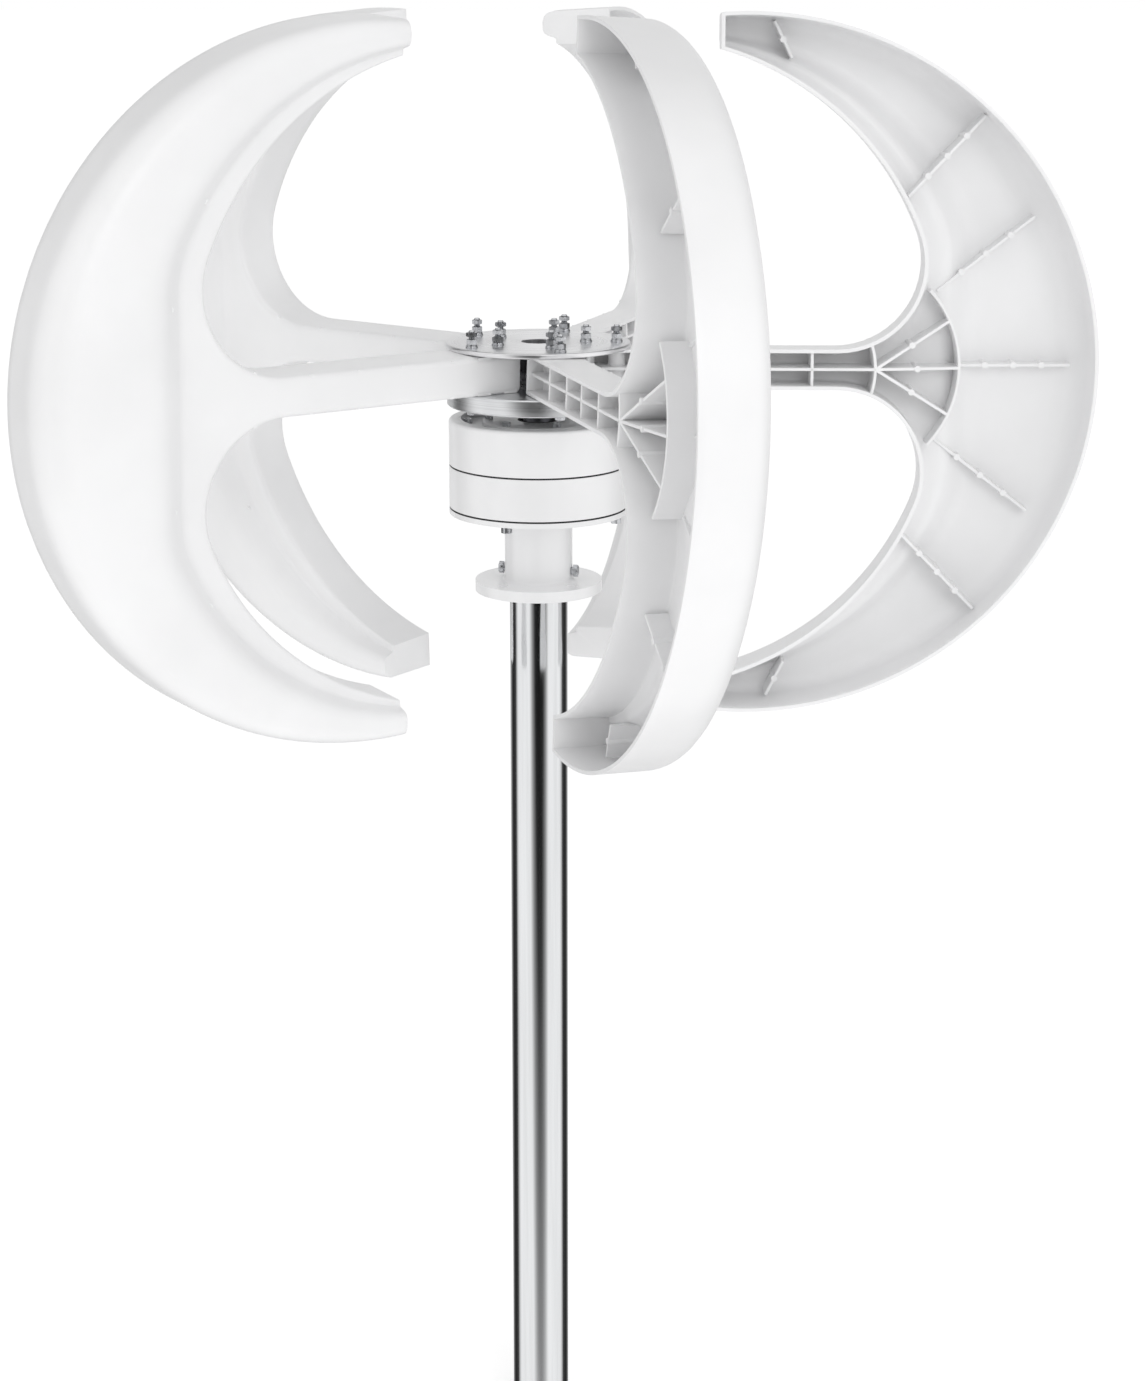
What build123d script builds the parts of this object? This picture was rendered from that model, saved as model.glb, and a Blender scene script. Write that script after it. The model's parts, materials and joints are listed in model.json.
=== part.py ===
"""Small vertical axis wind turbine: five hollow C-shaped blades on a ring generator.

Frame: +Z up, origin at the centre of the mast's foot, turbine axis on Z. Millimetres.
The shaft, magnet rotor, hub and blades turn about Z; everything else stands still.
"""
from build123d import *
import math
import os

# ---------------------------------------------------------------- driving dimensions
# mast
MAST_OD = 48.3
MAST_WALL = 2.0
MAST_EXPOSED = 750.0
SOCKET_DEPTH = 54.0
MAST_SPIGOT_STEP = 0.5
MAST_MOUTH_GAP = 0.6
MAST_MOUTH_DEPTH = 1.0

# neck, foot flange and bottom cover (one casting)
NECK_OD = 56.0
NECK_LENGTH = 57.0
FLANGE_OD = 105.0
FLANGE_THICKNESS = 9.0
FLANGE_BOLT_CIRCLE = 80.0
FLANGE_HOLE_R = 4.5
FLANGE_HOLES = 4
NECK_FILLET = 3.0

# generator housing
HOUSING_OD = 146.8
LIP_THICKNESS = 4.3
LOWER_HOUSING_HEIGHT = 34.1
UPPER_HOUSING_HEIGHT = 37.3
HOUSING_WALL = 9.4
CLAMP_WALL = 13.9
LEDGE_WALL = 19.4
LEDGE_THICKNESS = 5.5
RECESS_DEPTH = 6.0
TOP_COVER_THICKNESS = 6.0
TOP_RIM_WALL = 10.0
HOUSING_EDGE = 3.0
GASKET_THICKNESS = 1.4
GASKET_INSET = 0.4

# ball bearings, both alike
BEARING_BORE = 25.0
BEARING_OD = 52.0
BEARING_WIDTH = 15.0
BEARING_PITCH_R = 19.5
BALL_R = 3.85
BALL_COUNT = 9
RACE_CLEARANCE = 0.12
INNER_RING_R = 17.2
OUTER_RING_R = 21.8
CAGE_INNER_R = 18.3
CAGE_OUTER_R = 20.7
CAGE_HEIGHT = 11.0
BEARING_BOSS_WALL = 6.0
BEARING_LIP = 4.0

# generator inside
AIR_GAP = 0.9
TOOTH_LENGTH = 9.6
YOKE_RIM = 6.0
YOKE_HUB_OD = 40.0
YOKE_WEB = 9.0
YOKE_WINDOWS = 6
YOKE_WINDOW_WALL = 3.0
MAGNET_THICKNESS = 4.0
MAGNET_BOND = 0.15
MAGNET_COUNT = 14
MAGNET_GAP_DEG = 4.0
STATOR_HEIGHT = 26.0
STATOR_SLOTS = 12
STATOR_BACK = 5.5
TOOTH_WIDTH = 7.0
SHOE_WIDTH = 17.0
SHOE_THICKNESS = 2.0
COIL_THICKNESS = 4.5
COIL_OVERHANG = 4.5
COIL_ROOM = 6.0
COIL_CORNER_R = 2.0
COIL_TO_BACK = 1.0

# shaft
SHAFT_MIDDLE_R = 15.0
SHAFT_END_R = 10.0
SHAFT_RECESS = 3.0
KEY_SIZE = 5.0
KEY_LENGTH = 12.0
CIRCLIP_THICKNESS = 1.2
CIRCLIP_DEPTH = 1.0
CIRCLIP_HEIGHT = 3.0
SHAFT_STUB = 3.5
SHAFT_END_GAP = 2.0
SHAFT_CHAMFER = 1.5
LOWER_BEARING_LIFT = 2.7
BEARING_SHOULDER = 2.0
DISC_KEY_LENGTH = 12.0
CIRCLIP_GAP = 5.0

# hub
DISC_GAP = 11.5
DISC_OD = 149.0
DISC_THICKNESS = 14.0
DISC_CHAMFER = 1.0
TOP_PLATE_OD = 150.8
TOP_PLATE_THICKNESS = 4.0
TOP_PLATE_BORE = 27.5
TOP_PLATE_CHAMFER = 0.6
HUB_WASHER_OD = 37.0
HUB_WASHER_THICKNESS = 3.0
HUB_NUT_ACROSS = 30.0
HUB_NUT_HEIGHT = 10.0
SLEEVE_OD = 31.0
HUB_BOLT_R = 2.5
HUB_BOLT_RADII = (39.0, 64.0)
HUB_BOLT_ACROSS = 8.0
HUB_BOLT_HEAD = 3.5
HUB_WASHER_STACK = 1.2
HUB_NUT_THICKNESS = 4.5
LOCK_NUT_GAP = 2.0
LOCK_NUT_THICKNESS = 3.5
HUB_BOLT_STICKOUT = 1.5
HUB_BOLT_CHAMFER = 0.5
SPRING_WASHER_OD = 9.0
SPRING_WASHER_SPLIT = 0.8

# blades
BLADE_COUNT = 5
BLADE_TILT = 2.05
BLADE_WALL = 3.0
RIM_OFFSET = 21.0
ARM_HEIGHT = 33.0
ARM_DEPTH = 41.0
ARM_ROOT = 31.0
ARM_MITRE = 9.0
ROOT_BLOCK = 15.0
CLAMP_PAD = 1.5
PAD_END_MARGIN = 4.0
TIP_X = 146.0
TIP_INNER_Z = 254.0
OUTER_CENTRE_X = 168.0
OUTER_R = 284.0
COVE_X = 310.5
COVE_Z = 85.0
COVE_JOIN_DEG = 22.0
BULGE_DEPTH = 60.0
SHELF_MID = 22.0
SHELF_TIP = 4.0
CREASE_STEPS = (65.0, 40.0, 14.0, -14.0, -40.0, -65.0)
BACK_EDGE_R = 9.0
BULGE_EDGE_R = 11.0
RIB_THICKNESS = 2.5
RIB_BOSS_R = 2.6
BOLT_BOSS_R = 7.0
ARM_RIB_X = (94.0, 140.0, 179.0, 222.0)
FAN_HUB_X = 273.0
FAN_ARC_CENTRE_X = 250.0
FAN_ARC_R = 92.0
FAN_ARC_DEG = 43.0
HUB_ARC_CENTRE_X = 205.0
HUB_ARC_DEG = 20.0
RADIAL_RIBS = (
    ((203.0, 251.0), (190.0, 279.0)),
    ((300.0, 141.0), (363.0, 205.0)),
    ((331.0, 66.0), (403.0, 121.0)),
)
FAN_RIBS = ((333.0, 38.0), (342.0, 0.0), (333.0, -38.0))
MIDDLE_RIB = ((342.0, 0.0), (428.0, 0.0))
PEGS_PER_RIB = 3
ARM_RIB_RECESS = 3.0
FAN_ARC_RECESS = 16.0
RADIAL_RIB_RECESSES = (28.0, 20.0, 36.0)
MIDDLE_RIB_RECESS = 36.0

# small fasteners
HOUSING_BOLT_R = 2.5
HOUSING_BOLT_ACROSS = 8.0
HOUSING_BOLT_HEAD = 5.0
COVER_BOLT_R = 2.0
COVER_BOLT_HEAD_OD = 7.0
COVER_BOLT_HEAD = 3.6
SET_SCREW_R = 3.0
SET_SCREW_ACROSS = 9.0
SET_SCREW_HEAD = 4.0
SET_SCREW_STICKOUT = 1.5
SET_SCREW_LIFT = 8.0
HOUSING_BOLT_COUNT = 4
HOUSING_BOLT_LENGTH = 50.0
HOUSING_BOLT_START = -110.0
HOUSING_BOLT_INSET = 5.4
TOP_BOLT_COUNT = 8
TOP_BOLT_LENGTH = 10.0
TOP_BOLT_START = -140.0
TOP_BOLT_INSET = 4.9
COVER_SCREW_COUNT = 6
COVER_SCREW_LENGTH = 9.0
COVER_SCREW_START = -127.0
COVER_SCREW_INSET = 5.0
TAP_RUNOUT = 0.5
SET_SCREW_COUNT = 2
SET_SCREW_START = -12.0
BEARING_COVER_OD = 92.0
BEARING_COVER_THICKNESS = 4.0
BEARING_COVER_CHAMFER = 1.0
SEAL_OD = 34.0
SEAL_WALL = 2.0
SEAL_LIP_HEIGHTS = (1.6, 2.6)
SEAL_LIFT = 0.4
GROMMET_BORE = 6.0
GROMMET_HOLE = 10.0
GROMMET_FLANGE = 2.0

# clearances, each on the radius or on one side
SOCKET_CLEARANCE = 0.05
SEAT_CLEARANCE = 0.02
RUNNING_CLEARANCE = 0.05
HOLE_CLEARANCE = 0.2
COIL_CLEARANCE = 0.2
THREAD_CLEARANCE = 0.03

# how far a cutter runs past a face
OVERCUT = 1.0

# ---------------------------------------------------------------- heights worked out
Z_FLANGE = MAST_EXPOSED
Z_FLANGE_TOP = Z_FLANGE + FLANGE_THICKNESS
Z_LIP = Z_FLANGE_TOP + NECK_LENGTH
Z_LOWER_GASKET = Z_LIP + LIP_THICKNESS
Z_LOWER = Z_LOWER_GASKET + GASKET_THICKNESS
Z_UPPER_GASKET = Z_LOWER + LOWER_HOUSING_HEIGHT
Z_UPPER = Z_UPPER_GASKET + GASKET_THICKNESS
Z_HOUSING_TOP = Z_UPPER + UPPER_HOUSING_HEIGHT
Z_DISC = Z_HOUSING_TOP + DISC_GAP
Z_ARM = Z_DISC + DISC_THICKNESS
Z_HUB = Z_ARM + ARM_HEIGHT / 2
Z_PLATE = Z_ARM + ARM_HEIGHT
Z_PLATE_TOP = Z_PLATE + TOP_PLATE_THICKNESS
Z_COVER_TOP = Z_HOUSING_TOP - RECESS_DEPTH
Z_LEDGE_TOP = Z_COVER_TOP - TOP_COVER_THICKNESS
Z_LEDGE = Z_LEDGE_TOP - LEDGE_THICKNESS
Z_UPPER_BEARING = Z_COVER_TOP - BEARING_WIDTH
Z_STATOR = Z_LEDGE - COIL_ROOM - STATOR_HEIGHT
Z_STATOR_TOP = Z_STATOR + STATOR_HEIGHT
Z_SOCKET_TOP = Z_FLANGE + SOCKET_DEPTH
Z_LOWER_BEARING = Z_LOWER_GASKET + LOWER_BEARING_LIFT
Z_BEARING_COVER_TOP = Z_COVER_TOP + BEARING_COVER_THICKNESS
Z_STUB = Z_LOWER_BEARING - SHAFT_STUB
Z_STUB_FLOOR = Z_STUB - SHAFT_END_GAP
Z_SET_SCREW = Z_FLANGE_TOP + SET_SCREW_LIFT

HOUSING_R = HOUSING_OD / 2
STATOR_R = HOUSING_R - HOUSING_WALL
CLAMP_R = HOUSING_R - CLAMP_WALL
LEDGE_R = HOUSING_R - LEDGE_WALL
RECESS_R = HOUSING_R - TOP_RIM_WALL
TOOTH_TIP_R = STATOR_R - STATOR_BACK - TOOTH_LENGTH
MAGNET_R = TOOTH_TIP_R - AIR_GAP
YOKE_R = MAGNET_R - MAGNET_THICKNESS
YOKE_HUB_R = YOKE_HUB_OD / 2
HOUSING_BOLT_CIRCLE_R = HOUSING_R - HOUSING_BOLT_INSET
TOP_BOLT_CIRCLE_R = RECESS_R - TOP_BOLT_INSET
COVER_SCREW_CIRCLE_R = BEARING_COVER_OD / 2 - COVER_SCREW_INSET
BEARING_SEAT_R = BEARING_OD / 2 + SEAT_CLEARANCE
SHAFT_BEARING_R = BEARING_BORE / 2 - SEAT_CLEARANCE
SHAFT_TOP = Z_PLATE - SHAFT_RECESS
MAST_R = MAST_OD / 2
MAST_SPIGOT_R = MAST_R - MAST_SPIGOT_STEP
NECK_R = NECK_OD / 2
BEARING_BOSS_R = BEARING_OD / 2 + BEARING_BOSS_WALL
BEARING_LIP_R = BEARING_OD / 2 - BEARING_LIP
HUB_CLAMP_TOP = Z_PLATE_TOP + 2 * HUB_WASHER_STACK
Z_HUB_NUTS_TOP = HUB_CLAMP_TOP + HUB_NUT_THICKNESS
Z_LOCK_NUT = Z_HUB_NUTS_TOP + LOCK_NUT_GAP
Z_LOCK_NUT_TOP = Z_LOCK_NUT + LOCK_NUT_THICKNESS
Z_HUB_WASHER_TOP = Z_ARM + HUB_WASHER_THICKNESS
Z_HUB_NUT_TOP = Z_HUB_WASHER_TOP + HUB_NUT_HEIGHT


# ---------------------------------------------------------------- small helpers
def rod(r, z0, z1):
    """Round bar on the axis from z0 to z1."""
    return Pos(0, 0, z0) * Cylinder(r, z1 - z0, align=(Align.CENTER, Align.CENTER, Align.MIN))


def bore(r, z0, z1):
    """Cutter for a hole that goes right through from z0 to z1."""
    return rod(r, z0 - OVERCUT, z1 + OVERCUT)


def bore_from_top(r, z0, z1):
    """Cutter for a hole with its floor at z0, open at z1."""
    return rod(r, z0, z1 + OVERCUT)


def bore_from_below(r, z0, z1):
    """Cutter for a hole open at z0, with its roof at z1."""
    return rod(r, z0 - OVERCUT, z1)


def ring(r_out, r_in, z0, z1):
    """Tube on the axis."""
    return rod(r_out, z0, z1) - bore(r_in, z0, z1)


def block(x0, x1, y0, y1, z0, z1):
    """Box between two corners."""
    return Pos(x0, y0, z0) * Box(x1 - x0, y1 - y0, z1 - z0, align=(Align.MIN, Align.MIN, Align.MIN))


def around(item, count, radius, start=0.0):
    """The item repeated on a circle about Z, as a list."""
    step = 360 / count
    return [Rot(0, 0, start + i * step) * Pos(radius, 0, 0) * item for i in range(count)]


def hex_prism(across, z0, z1):
    """Hexagonal bar on the axis, by its width across flats."""
    outline = RegularPolygon(radius=across / 2, side_count=6, major_radius=False)
    return Pos(0, 0, z0) * extrude(outline, z1 - z0)


def without(body, cutters):
    """The body with each cutter taken out."""
    for cutter in cutters:
        body = body - cutter
    return body


def group(solids):
    """Separate solids in one node."""
    return Compound(children=[solid for item in solids for solid in item.solids()])


def save(name, shape):
    """One STEP file for one node."""
    shape.label = name
    export_step(shape, f"parts/{name}.step")


# ---------------------------------------------------------------- mast and bottom casting
def mast_tube():
    """Tube with its top turned down to a spigot that sits in the neck."""
    tube = rod(MAST_R, 0, Z_FLANGE) + rod(MAST_SPIGOT_R, Z_FLANGE, Z_SOCKET_TOP)
    return tube - bore(MAST_R - MAST_WALL, 0, Z_SOCKET_TOP)


def base_casting():
    """Flange, neck, generator bottom cover and lower bearing boss in one casting."""
    body = rod(FLANGE_OD / 2, Z_FLANGE, Z_FLANGE_TOP) + rod(NECK_R, Z_FLANGE, Z_LIP)
    inner_corner = body.edges().filter_by(GeomType.CIRCLE).filter_by_position(Axis.Z, Z_FLANGE_TOP, Z_FLANGE_TOP)
    body = fillet(inner_corner.sort_by(SortBy.LENGTH)[0:1], NECK_FILLET)
    bearing_top = Z_LOWER_BEARING + BEARING_WIDTH
    body = body + rod(HOUSING_R, Z_LIP, Z_LOWER_GASKET)
    body = body + rod(BEARING_BOSS_R, Z_LOWER_GASKET, bearing_top)
    body = body - bore_from_below(MAST_SPIGOT_R + SOCKET_CLEARANCE, Z_FLANGE, Z_SOCKET_TOP)
    body = body - bore_from_top(BEARING_SEAT_R, Z_LOWER_BEARING, bearing_top)
    body = body - bore_from_top(BEARING_LIP_R, Z_STUB_FLOOR, Z_LOWER_BEARING)
    body = body - bore(GROMMET_HOLE / 2, Z_SOCKET_TOP, Z_STUB_FLOOR)
    hole = bore(FLANGE_HOLE_R, Z_FLANGE, Z_FLANGE_TOP)
    body = without(body, around(hole, FLANGE_HOLES, FLANGE_BOLT_CIRCLE / 2, 45))
    body = without(body, housing_bolt_holes(HOLE_CLEARANCE, Z_LIP, Z_LOWER_GASKET))
    tap = Pos(0, 0, Z_SET_SCREW) * Rot(0, 90, 0) * Cylinder(SET_SCREW_R + THREAD_CLEARANCE, NECK_OD)
    body = body - bore_from_below(MAST_R + MAST_MOUTH_GAP, Z_FLANGE, Z_FLANGE + MAST_MOUTH_DEPTH)
    return without(body, around(tap, SET_SCREW_COUNT, NECK_R, SET_SCREW_START))


def mast_set_screws():
    """Hexagon headed screws in the neck that bear on the mast."""
    length = NECK_R - MAST_SPIGOT_R + SET_SCREW_STICKOUT
    screw = rod(SET_SCREW_R, 0, length) + hex_prism(SET_SCREW_ACROSS, length, length + SET_SCREW_HEAD)
    placed = Pos(0, 0, Z_SET_SCREW) * Rot(0, 90, 0) * screw
    return group(around(placed, SET_SCREW_COUNT, MAST_SPIGOT_R, SET_SCREW_START))


def cable_grommet():
    """Rubber bush in the hole through which the generator's leads run down the mast."""
    bush = rod(GROMMET_HOLE / 2 - SEAT_CLEARANCE, Z_SOCKET_TOP, Z_STUB_FLOOR)
    bush = bush + rod(GROMMET_HOLE / 2 + GROMMET_FLANGE, Z_SOCKET_TOP - GROMMET_FLANGE, Z_SOCKET_TOP)
    return bush - bore(GROMMET_BORE / 2, Z_SOCKET_TOP - GROMMET_FLANGE, Z_STUB_FLOOR)


# ---------------------------------------------------------------- generator housing
def housing_bolt_holes(clearance, z0, z1):
    """Cutters for the long housing bolts, through from z0 to z1."""
    hole = bore(HOUSING_BOLT_R + clearance, z0, z1)
    return around(hole, HOUSING_BOLT_COUNT, HOUSING_BOLT_CIRCLE_R, HOUSING_BOLT_START)


def top_bolt_holes(clearance, z0, z1):
    """Cutters for the top cover's screws."""
    return around(bore(COVER_BOLT_R + clearance, z0, z1), TOP_BOLT_COUNT, TOP_BOLT_CIRCLE_R, TOP_BOLT_START)


def lower_gasket():
    gasket = ring(HOUSING_R - GASKET_INSET, CLAMP_R, Z_LOWER_GASKET, Z_LOWER)
    return without(gasket, housing_bolt_holes(HOLE_CLEARANCE, Z_LOWER_GASKET, Z_LOWER))


def upper_gasket():
    gasket = ring(HOUSING_R - GASKET_INSET, STATOR_R, Z_UPPER_GASKET, Z_UPPER)
    return without(gasket, housing_bolt_holes(HOLE_CLEARANCE, Z_UPPER_GASKET, Z_UPPER))


def lower_housing():
    """Ring casting with the step that carries the stator."""
    body = ring(HOUSING_R, CLAMP_R, Z_LOWER, Z_UPPER_GASKET)
    body = body - bore_from_top(STATOR_R, Z_STATOR, Z_UPPER_GASKET)
    return without(body, housing_bolt_holes(HOLE_CLEARANCE, Z_LOWER, Z_UPPER_GASKET))


def upper_housing():
    """Ring casting that clamps the stator and carries the top cover on its ledge."""
    body = rod(HOUSING_R, Z_UPPER, Z_HOUSING_TOP)
    top_edge = body.edges().filter_by(GeomType.CIRCLE).group_by(Axis.Z)[-1]
    body = fillet(top_edge, HOUSING_EDGE)
    body = body - bore(LEDGE_R, Z_UPPER, Z_HOUSING_TOP)
    body = body - bore_from_below(CLAMP_R, Z_UPPER, Z_LEDGE)
    body = body - bore_from_below(STATOR_R, Z_UPPER, Z_STATOR_TOP)
    body = body - bore_from_top(RECESS_R, Z_LEDGE_TOP, Z_HOUSING_TOP)
    body = without(body, housing_bolt_holes(THREAD_CLEARANCE, Z_UPPER, Z_LIP + HOUSING_BOLT_LENGTH))
    return without(body, top_bolt_holes(THREAD_CLEARANCE, Z_LEDGE, Z_LEDGE_TOP))


def top_cover():
    """Plate in the recess, with the upper bearing boss hanging from it."""
    boss_floor = Z_UPPER_BEARING - BEARING_SHOULDER
    body = rod(RECESS_R - RUNNING_CLEARANCE, Z_LEDGE_TOP, Z_COVER_TOP)
    body = body + rod(BEARING_BOSS_R, boss_floor, Z_COVER_TOP)
    body = body - bore_from_top(BEARING_SEAT_R, Z_UPPER_BEARING, Z_COVER_TOP)
    body = body - bore(BEARING_LIP_R, boss_floor, Z_COVER_TOP)
    body = without(body, top_bolt_holes(HOLE_CLEARANCE, Z_LEDGE_TOP, Z_COVER_TOP))
    tap_floor = Z_BEARING_COVER_TOP - COVER_SCREW_LENGTH - TAP_RUNOUT
    tap = bore_from_top(COVER_BOLT_R + THREAD_CLEARANCE, tap_floor, Z_COVER_TOP)
    return without(body, around(tap, COVER_SCREW_COUNT, COVER_SCREW_CIRCLE_R, COVER_SCREW_START))


def bearing_cover():
    cover = rod(BEARING_COVER_OD / 2, Z_COVER_TOP, Z_BEARING_COVER_TOP)
    rim = cover.edges().filter_by(GeomType.CIRCLE).group_by(Axis.Z)[-1]
    cover = chamfer(rim, BEARING_COVER_CHAMFER)
    cover = cover - bore(SEAL_OD / 2, Z_COVER_TOP, Z_BEARING_COVER_TOP)
    hole = bore(COVER_BOLT_R + HOLE_CLEARANCE, Z_COVER_TOP, Z_BEARING_COVER_TOP)
    return without(cover, around(hole, COVER_SCREW_COUNT, COVER_SCREW_CIRCLE_R, COVER_SCREW_START))


def shaft_seal():
    """Rubber lip seal between the bearing cover and the turning shaft."""
    case_bore = BEARING_BORE / 2 + SEAL_WALL
    seal = ring(SEAL_OD / 2 - SEAT_CLEARANCE, case_bore, Z_COVER_TOP + SEAL_LIFT, Z_BEARING_COVER_TOP)
    lip_low, lip_high = (Z_COVER_TOP + height for height in SEAL_LIP_HEIGHTS)
    lip = ring(case_bore + SEAL_WALL / 4, SHAFT_BEARING_R + RUNNING_CLEARANCE, lip_low, lip_high)
    return seal + lip


def hex_bolt(shank_r, across, head, length):
    """Bolt with its head's underside at z=0 and the shank pointing up."""
    return hex_prism(across, -head, 0) + rod(shank_r, 0, length)


def cover_screw(length):
    """Socket head screw with its head's underside at z=0 and the shank pointing down."""
    screw = rod(COVER_BOLT_HEAD_OD / 2, 0, COVER_BOLT_HEAD) + rod(COVER_BOLT_R, -length, 0)
    return screw - hex_prism(COVER_BOLT_HEAD_OD / 2, COVER_BOLT_HEAD / 2, COVER_BOLT_HEAD + OVERCUT)


def housing_bolts():
    bolt = hex_bolt(HOUSING_BOLT_R, HOUSING_BOLT_ACROSS, HOUSING_BOLT_HEAD, HOUSING_BOLT_LENGTH)
    placed = Pos(0, 0, Z_LIP) * bolt
    return group(around(placed, HOUSING_BOLT_COUNT, HOUSING_BOLT_CIRCLE_R, HOUSING_BOLT_START))


def top_cover_screws():
    screw = Pos(0, 0, Z_COVER_TOP) * cover_screw(TOP_BOLT_LENGTH)
    return group(around(screw, TOP_BOLT_COUNT, TOP_BOLT_CIRCLE_R, TOP_BOLT_START))


def bearing_cover_screws():
    screw = Pos(0, 0, Z_BEARING_COVER_TOP) * cover_screw(COVER_SCREW_LENGTH)
    return group(around(screw, COVER_SCREW_COUNT, COVER_SCREW_CIRCLE_R, COVER_SCREW_START))


# ---------------------------------------------------------------- bearings
def race_groove(z0):
    """Torus that the balls run in, about the middle of the bearing."""
    return Pos(0, 0, z0 + BEARING_WIDTH / 2) * Torus(BEARING_PITCH_R, BALL_R + RACE_CLEARANCE)


def outer_race(z0):
    return ring(BEARING_OD / 2, OUTER_RING_R, z0, z0 + BEARING_WIDTH) - race_groove(z0)


def inner_race(z0):
    return ring(INNER_RING_R, BEARING_BORE / 2, z0, z0 + BEARING_WIDTH) - race_groove(z0)


def bearing_balls(z0):
    ball = Pos(0, 0, z0 + BEARING_WIDTH / 2) * Sphere(BALL_R)
    return group(around(ball, BALL_COUNT, BEARING_PITCH_R))


def bearing_cage(z0):
    middle = z0 + BEARING_WIDTH / 2
    cage = ring(CAGE_OUTER_R, CAGE_INNER_R, middle - CAGE_HEIGHT / 2, middle + CAGE_HEIGHT / 2)
    depth = 2 * (CAGE_OUTER_R - CAGE_INNER_R)
    pocket = Pos(0, 0, middle) * Rot(0, 90, 0) * Cylinder(BALL_R + RACE_CLEARANCE, depth)
    return without(cage, around(pocket, BALL_COUNT, BEARING_PITCH_R))


# ---------------------------------------------------------------- generator inside
def stator_core():
    """Back ring with twelve teeth and their shoes."""
    z0, z1 = Z_STATOR, Z_STATOR_TOP
    core = ring(STATOR_R - SEAT_CLEARANCE, STATOR_R - STATOR_BACK, z0, z1)
    back = STATOR_R - STATOR_BACK / 2
    tooth = block(TOOTH_TIP_R, back, -TOOTH_WIDTH / 2, TOOTH_WIDTH / 2, z0, z1)
    shoe_end = TOOTH_TIP_R + SHOE_THICKNESS
    shoe = block(TOOTH_TIP_R - SHOE_THICKNESS, shoe_end, -SHOE_WIDTH / 2, SHOE_WIDTH / 2, z0, z1)
    for tooth_part in around(tooth, STATOR_SLOTS, 0) + around(shoe, STATOR_SLOTS, 0):
        core = core + tooth_part
    return core - bore(TOOTH_TIP_R, z0, z1)


def stator_coils():
    """One copper coil round each tooth."""
    r0 = TOOTH_TIP_R + SHOE_THICKNESS + COIL_CLEARANCE
    r1 = STATOR_R - STATOR_BACK - COIL_TO_BACK
    half = TOOTH_WIDTH / 2 + COIL_CLEARANCE
    side = half + COIL_THICKNESS
    outer = block(r0, r1, -side, side, Z_STATOR - COIL_OVERHANG, Z_STATOR_TOP + COIL_OVERHANG)
    outer = fillet(outer.edges().filter_by(Axis.X), COIL_CORNER_R)
    z0, z1 = Z_STATOR - COIL_CLEARANCE, Z_STATOR_TOP + COIL_CLEARANCE
    hole = block(r0 - OVERCUT, r1 + OVERCUT, -half, half, z0, z1)
    return group(around(outer - hole, STATOR_SLOTS, 0))


def magnet_yoke():
    """Steel wheel on the shaft that carries the magnets."""
    rim_bore = YOKE_R - YOKE_RIM
    rim = ring(YOKE_R, rim_bore, Z_STATOR, Z_STATOR_TOP)
    middle = (Z_STATOR + Z_STATOR_TOP) / 2
    web = ring(YOKE_R, SHAFT_MIDDLE_R + SEAT_CLEARANCE, middle - YOKE_WEB / 2, middle + YOKE_WEB / 2)
    hub = ring(YOKE_HUB_R, SHAFT_MIDDLE_R + SEAT_CLEARANCE, Z_STATOR, Z_STATOR_TOP)
    window_r = (rim_bore - YOKE_HUB_R) / 2 - YOKE_WINDOW_WALL
    window = bore(window_r, middle - YOKE_WEB / 2, middle + YOKE_WEB / 2)
    web = without(web, around(window, YOKE_WINDOWS, (rim_bore + YOKE_HUB_R) / 2))
    return rim + web + hub - yoke_key_space(SEAT_CLEARANCE)


def yoke_key_space(clearance):
    """Parallel key between the shaft's middle and the yoke's hub."""
    half = KEY_SIZE / 2 + clearance
    middle = (Z_STATOR + Z_STATOR_TOP) / 2
    reach = KEY_LENGTH / 2 + clearance
    x0 = SHAFT_MIDDLE_R - KEY_SIZE / 2 - clearance
    x1 = SHAFT_MIDDLE_R + KEY_SIZE / 2 + clearance
    return block(x0, x1, -half, half, middle - reach, middle + reach)


def disc_key_space(clearance):
    """Parallel key between the shaft's end and the driven disc."""
    half = KEY_SIZE / 2 + clearance
    reach = DISC_KEY_LENGTH / 2 + clearance
    middle = Z_DISC + DISC_THICKNESS / 2
    x0 = SHAFT_END_R - KEY_SIZE / 2 - clearance
    x1 = SHAFT_END_R + KEY_SIZE / 2 + clearance
    return block(x0, x1, -half, half, middle - reach, middle + reach)


def wedge_face(reach, half_angle):
    """Triangle from the origin that spans the half angle on both sides of X."""
    corner = reach * math.tan(math.radians(half_angle))
    return make_face(Polyline((0, 0), (reach, -corner), (reach, corner), (0, 0)))


def rotor_magnets():
    """Curved magnets bonded to the yoke."""
    ring_face = Circle(MAGNET_R) - Circle(YOKE_R + MAGNET_BOND)
    sector = wedge_face(2 * MAGNET_R, (360 / MAGNET_COUNT - MAGNET_GAP_DEG) / 2)
    magnet = Pos(0, 0, Z_STATOR) * extrude(ring_face & sector, STATOR_HEIGHT)
    return group(around(magnet, MAGNET_COUNT, 0))


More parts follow.
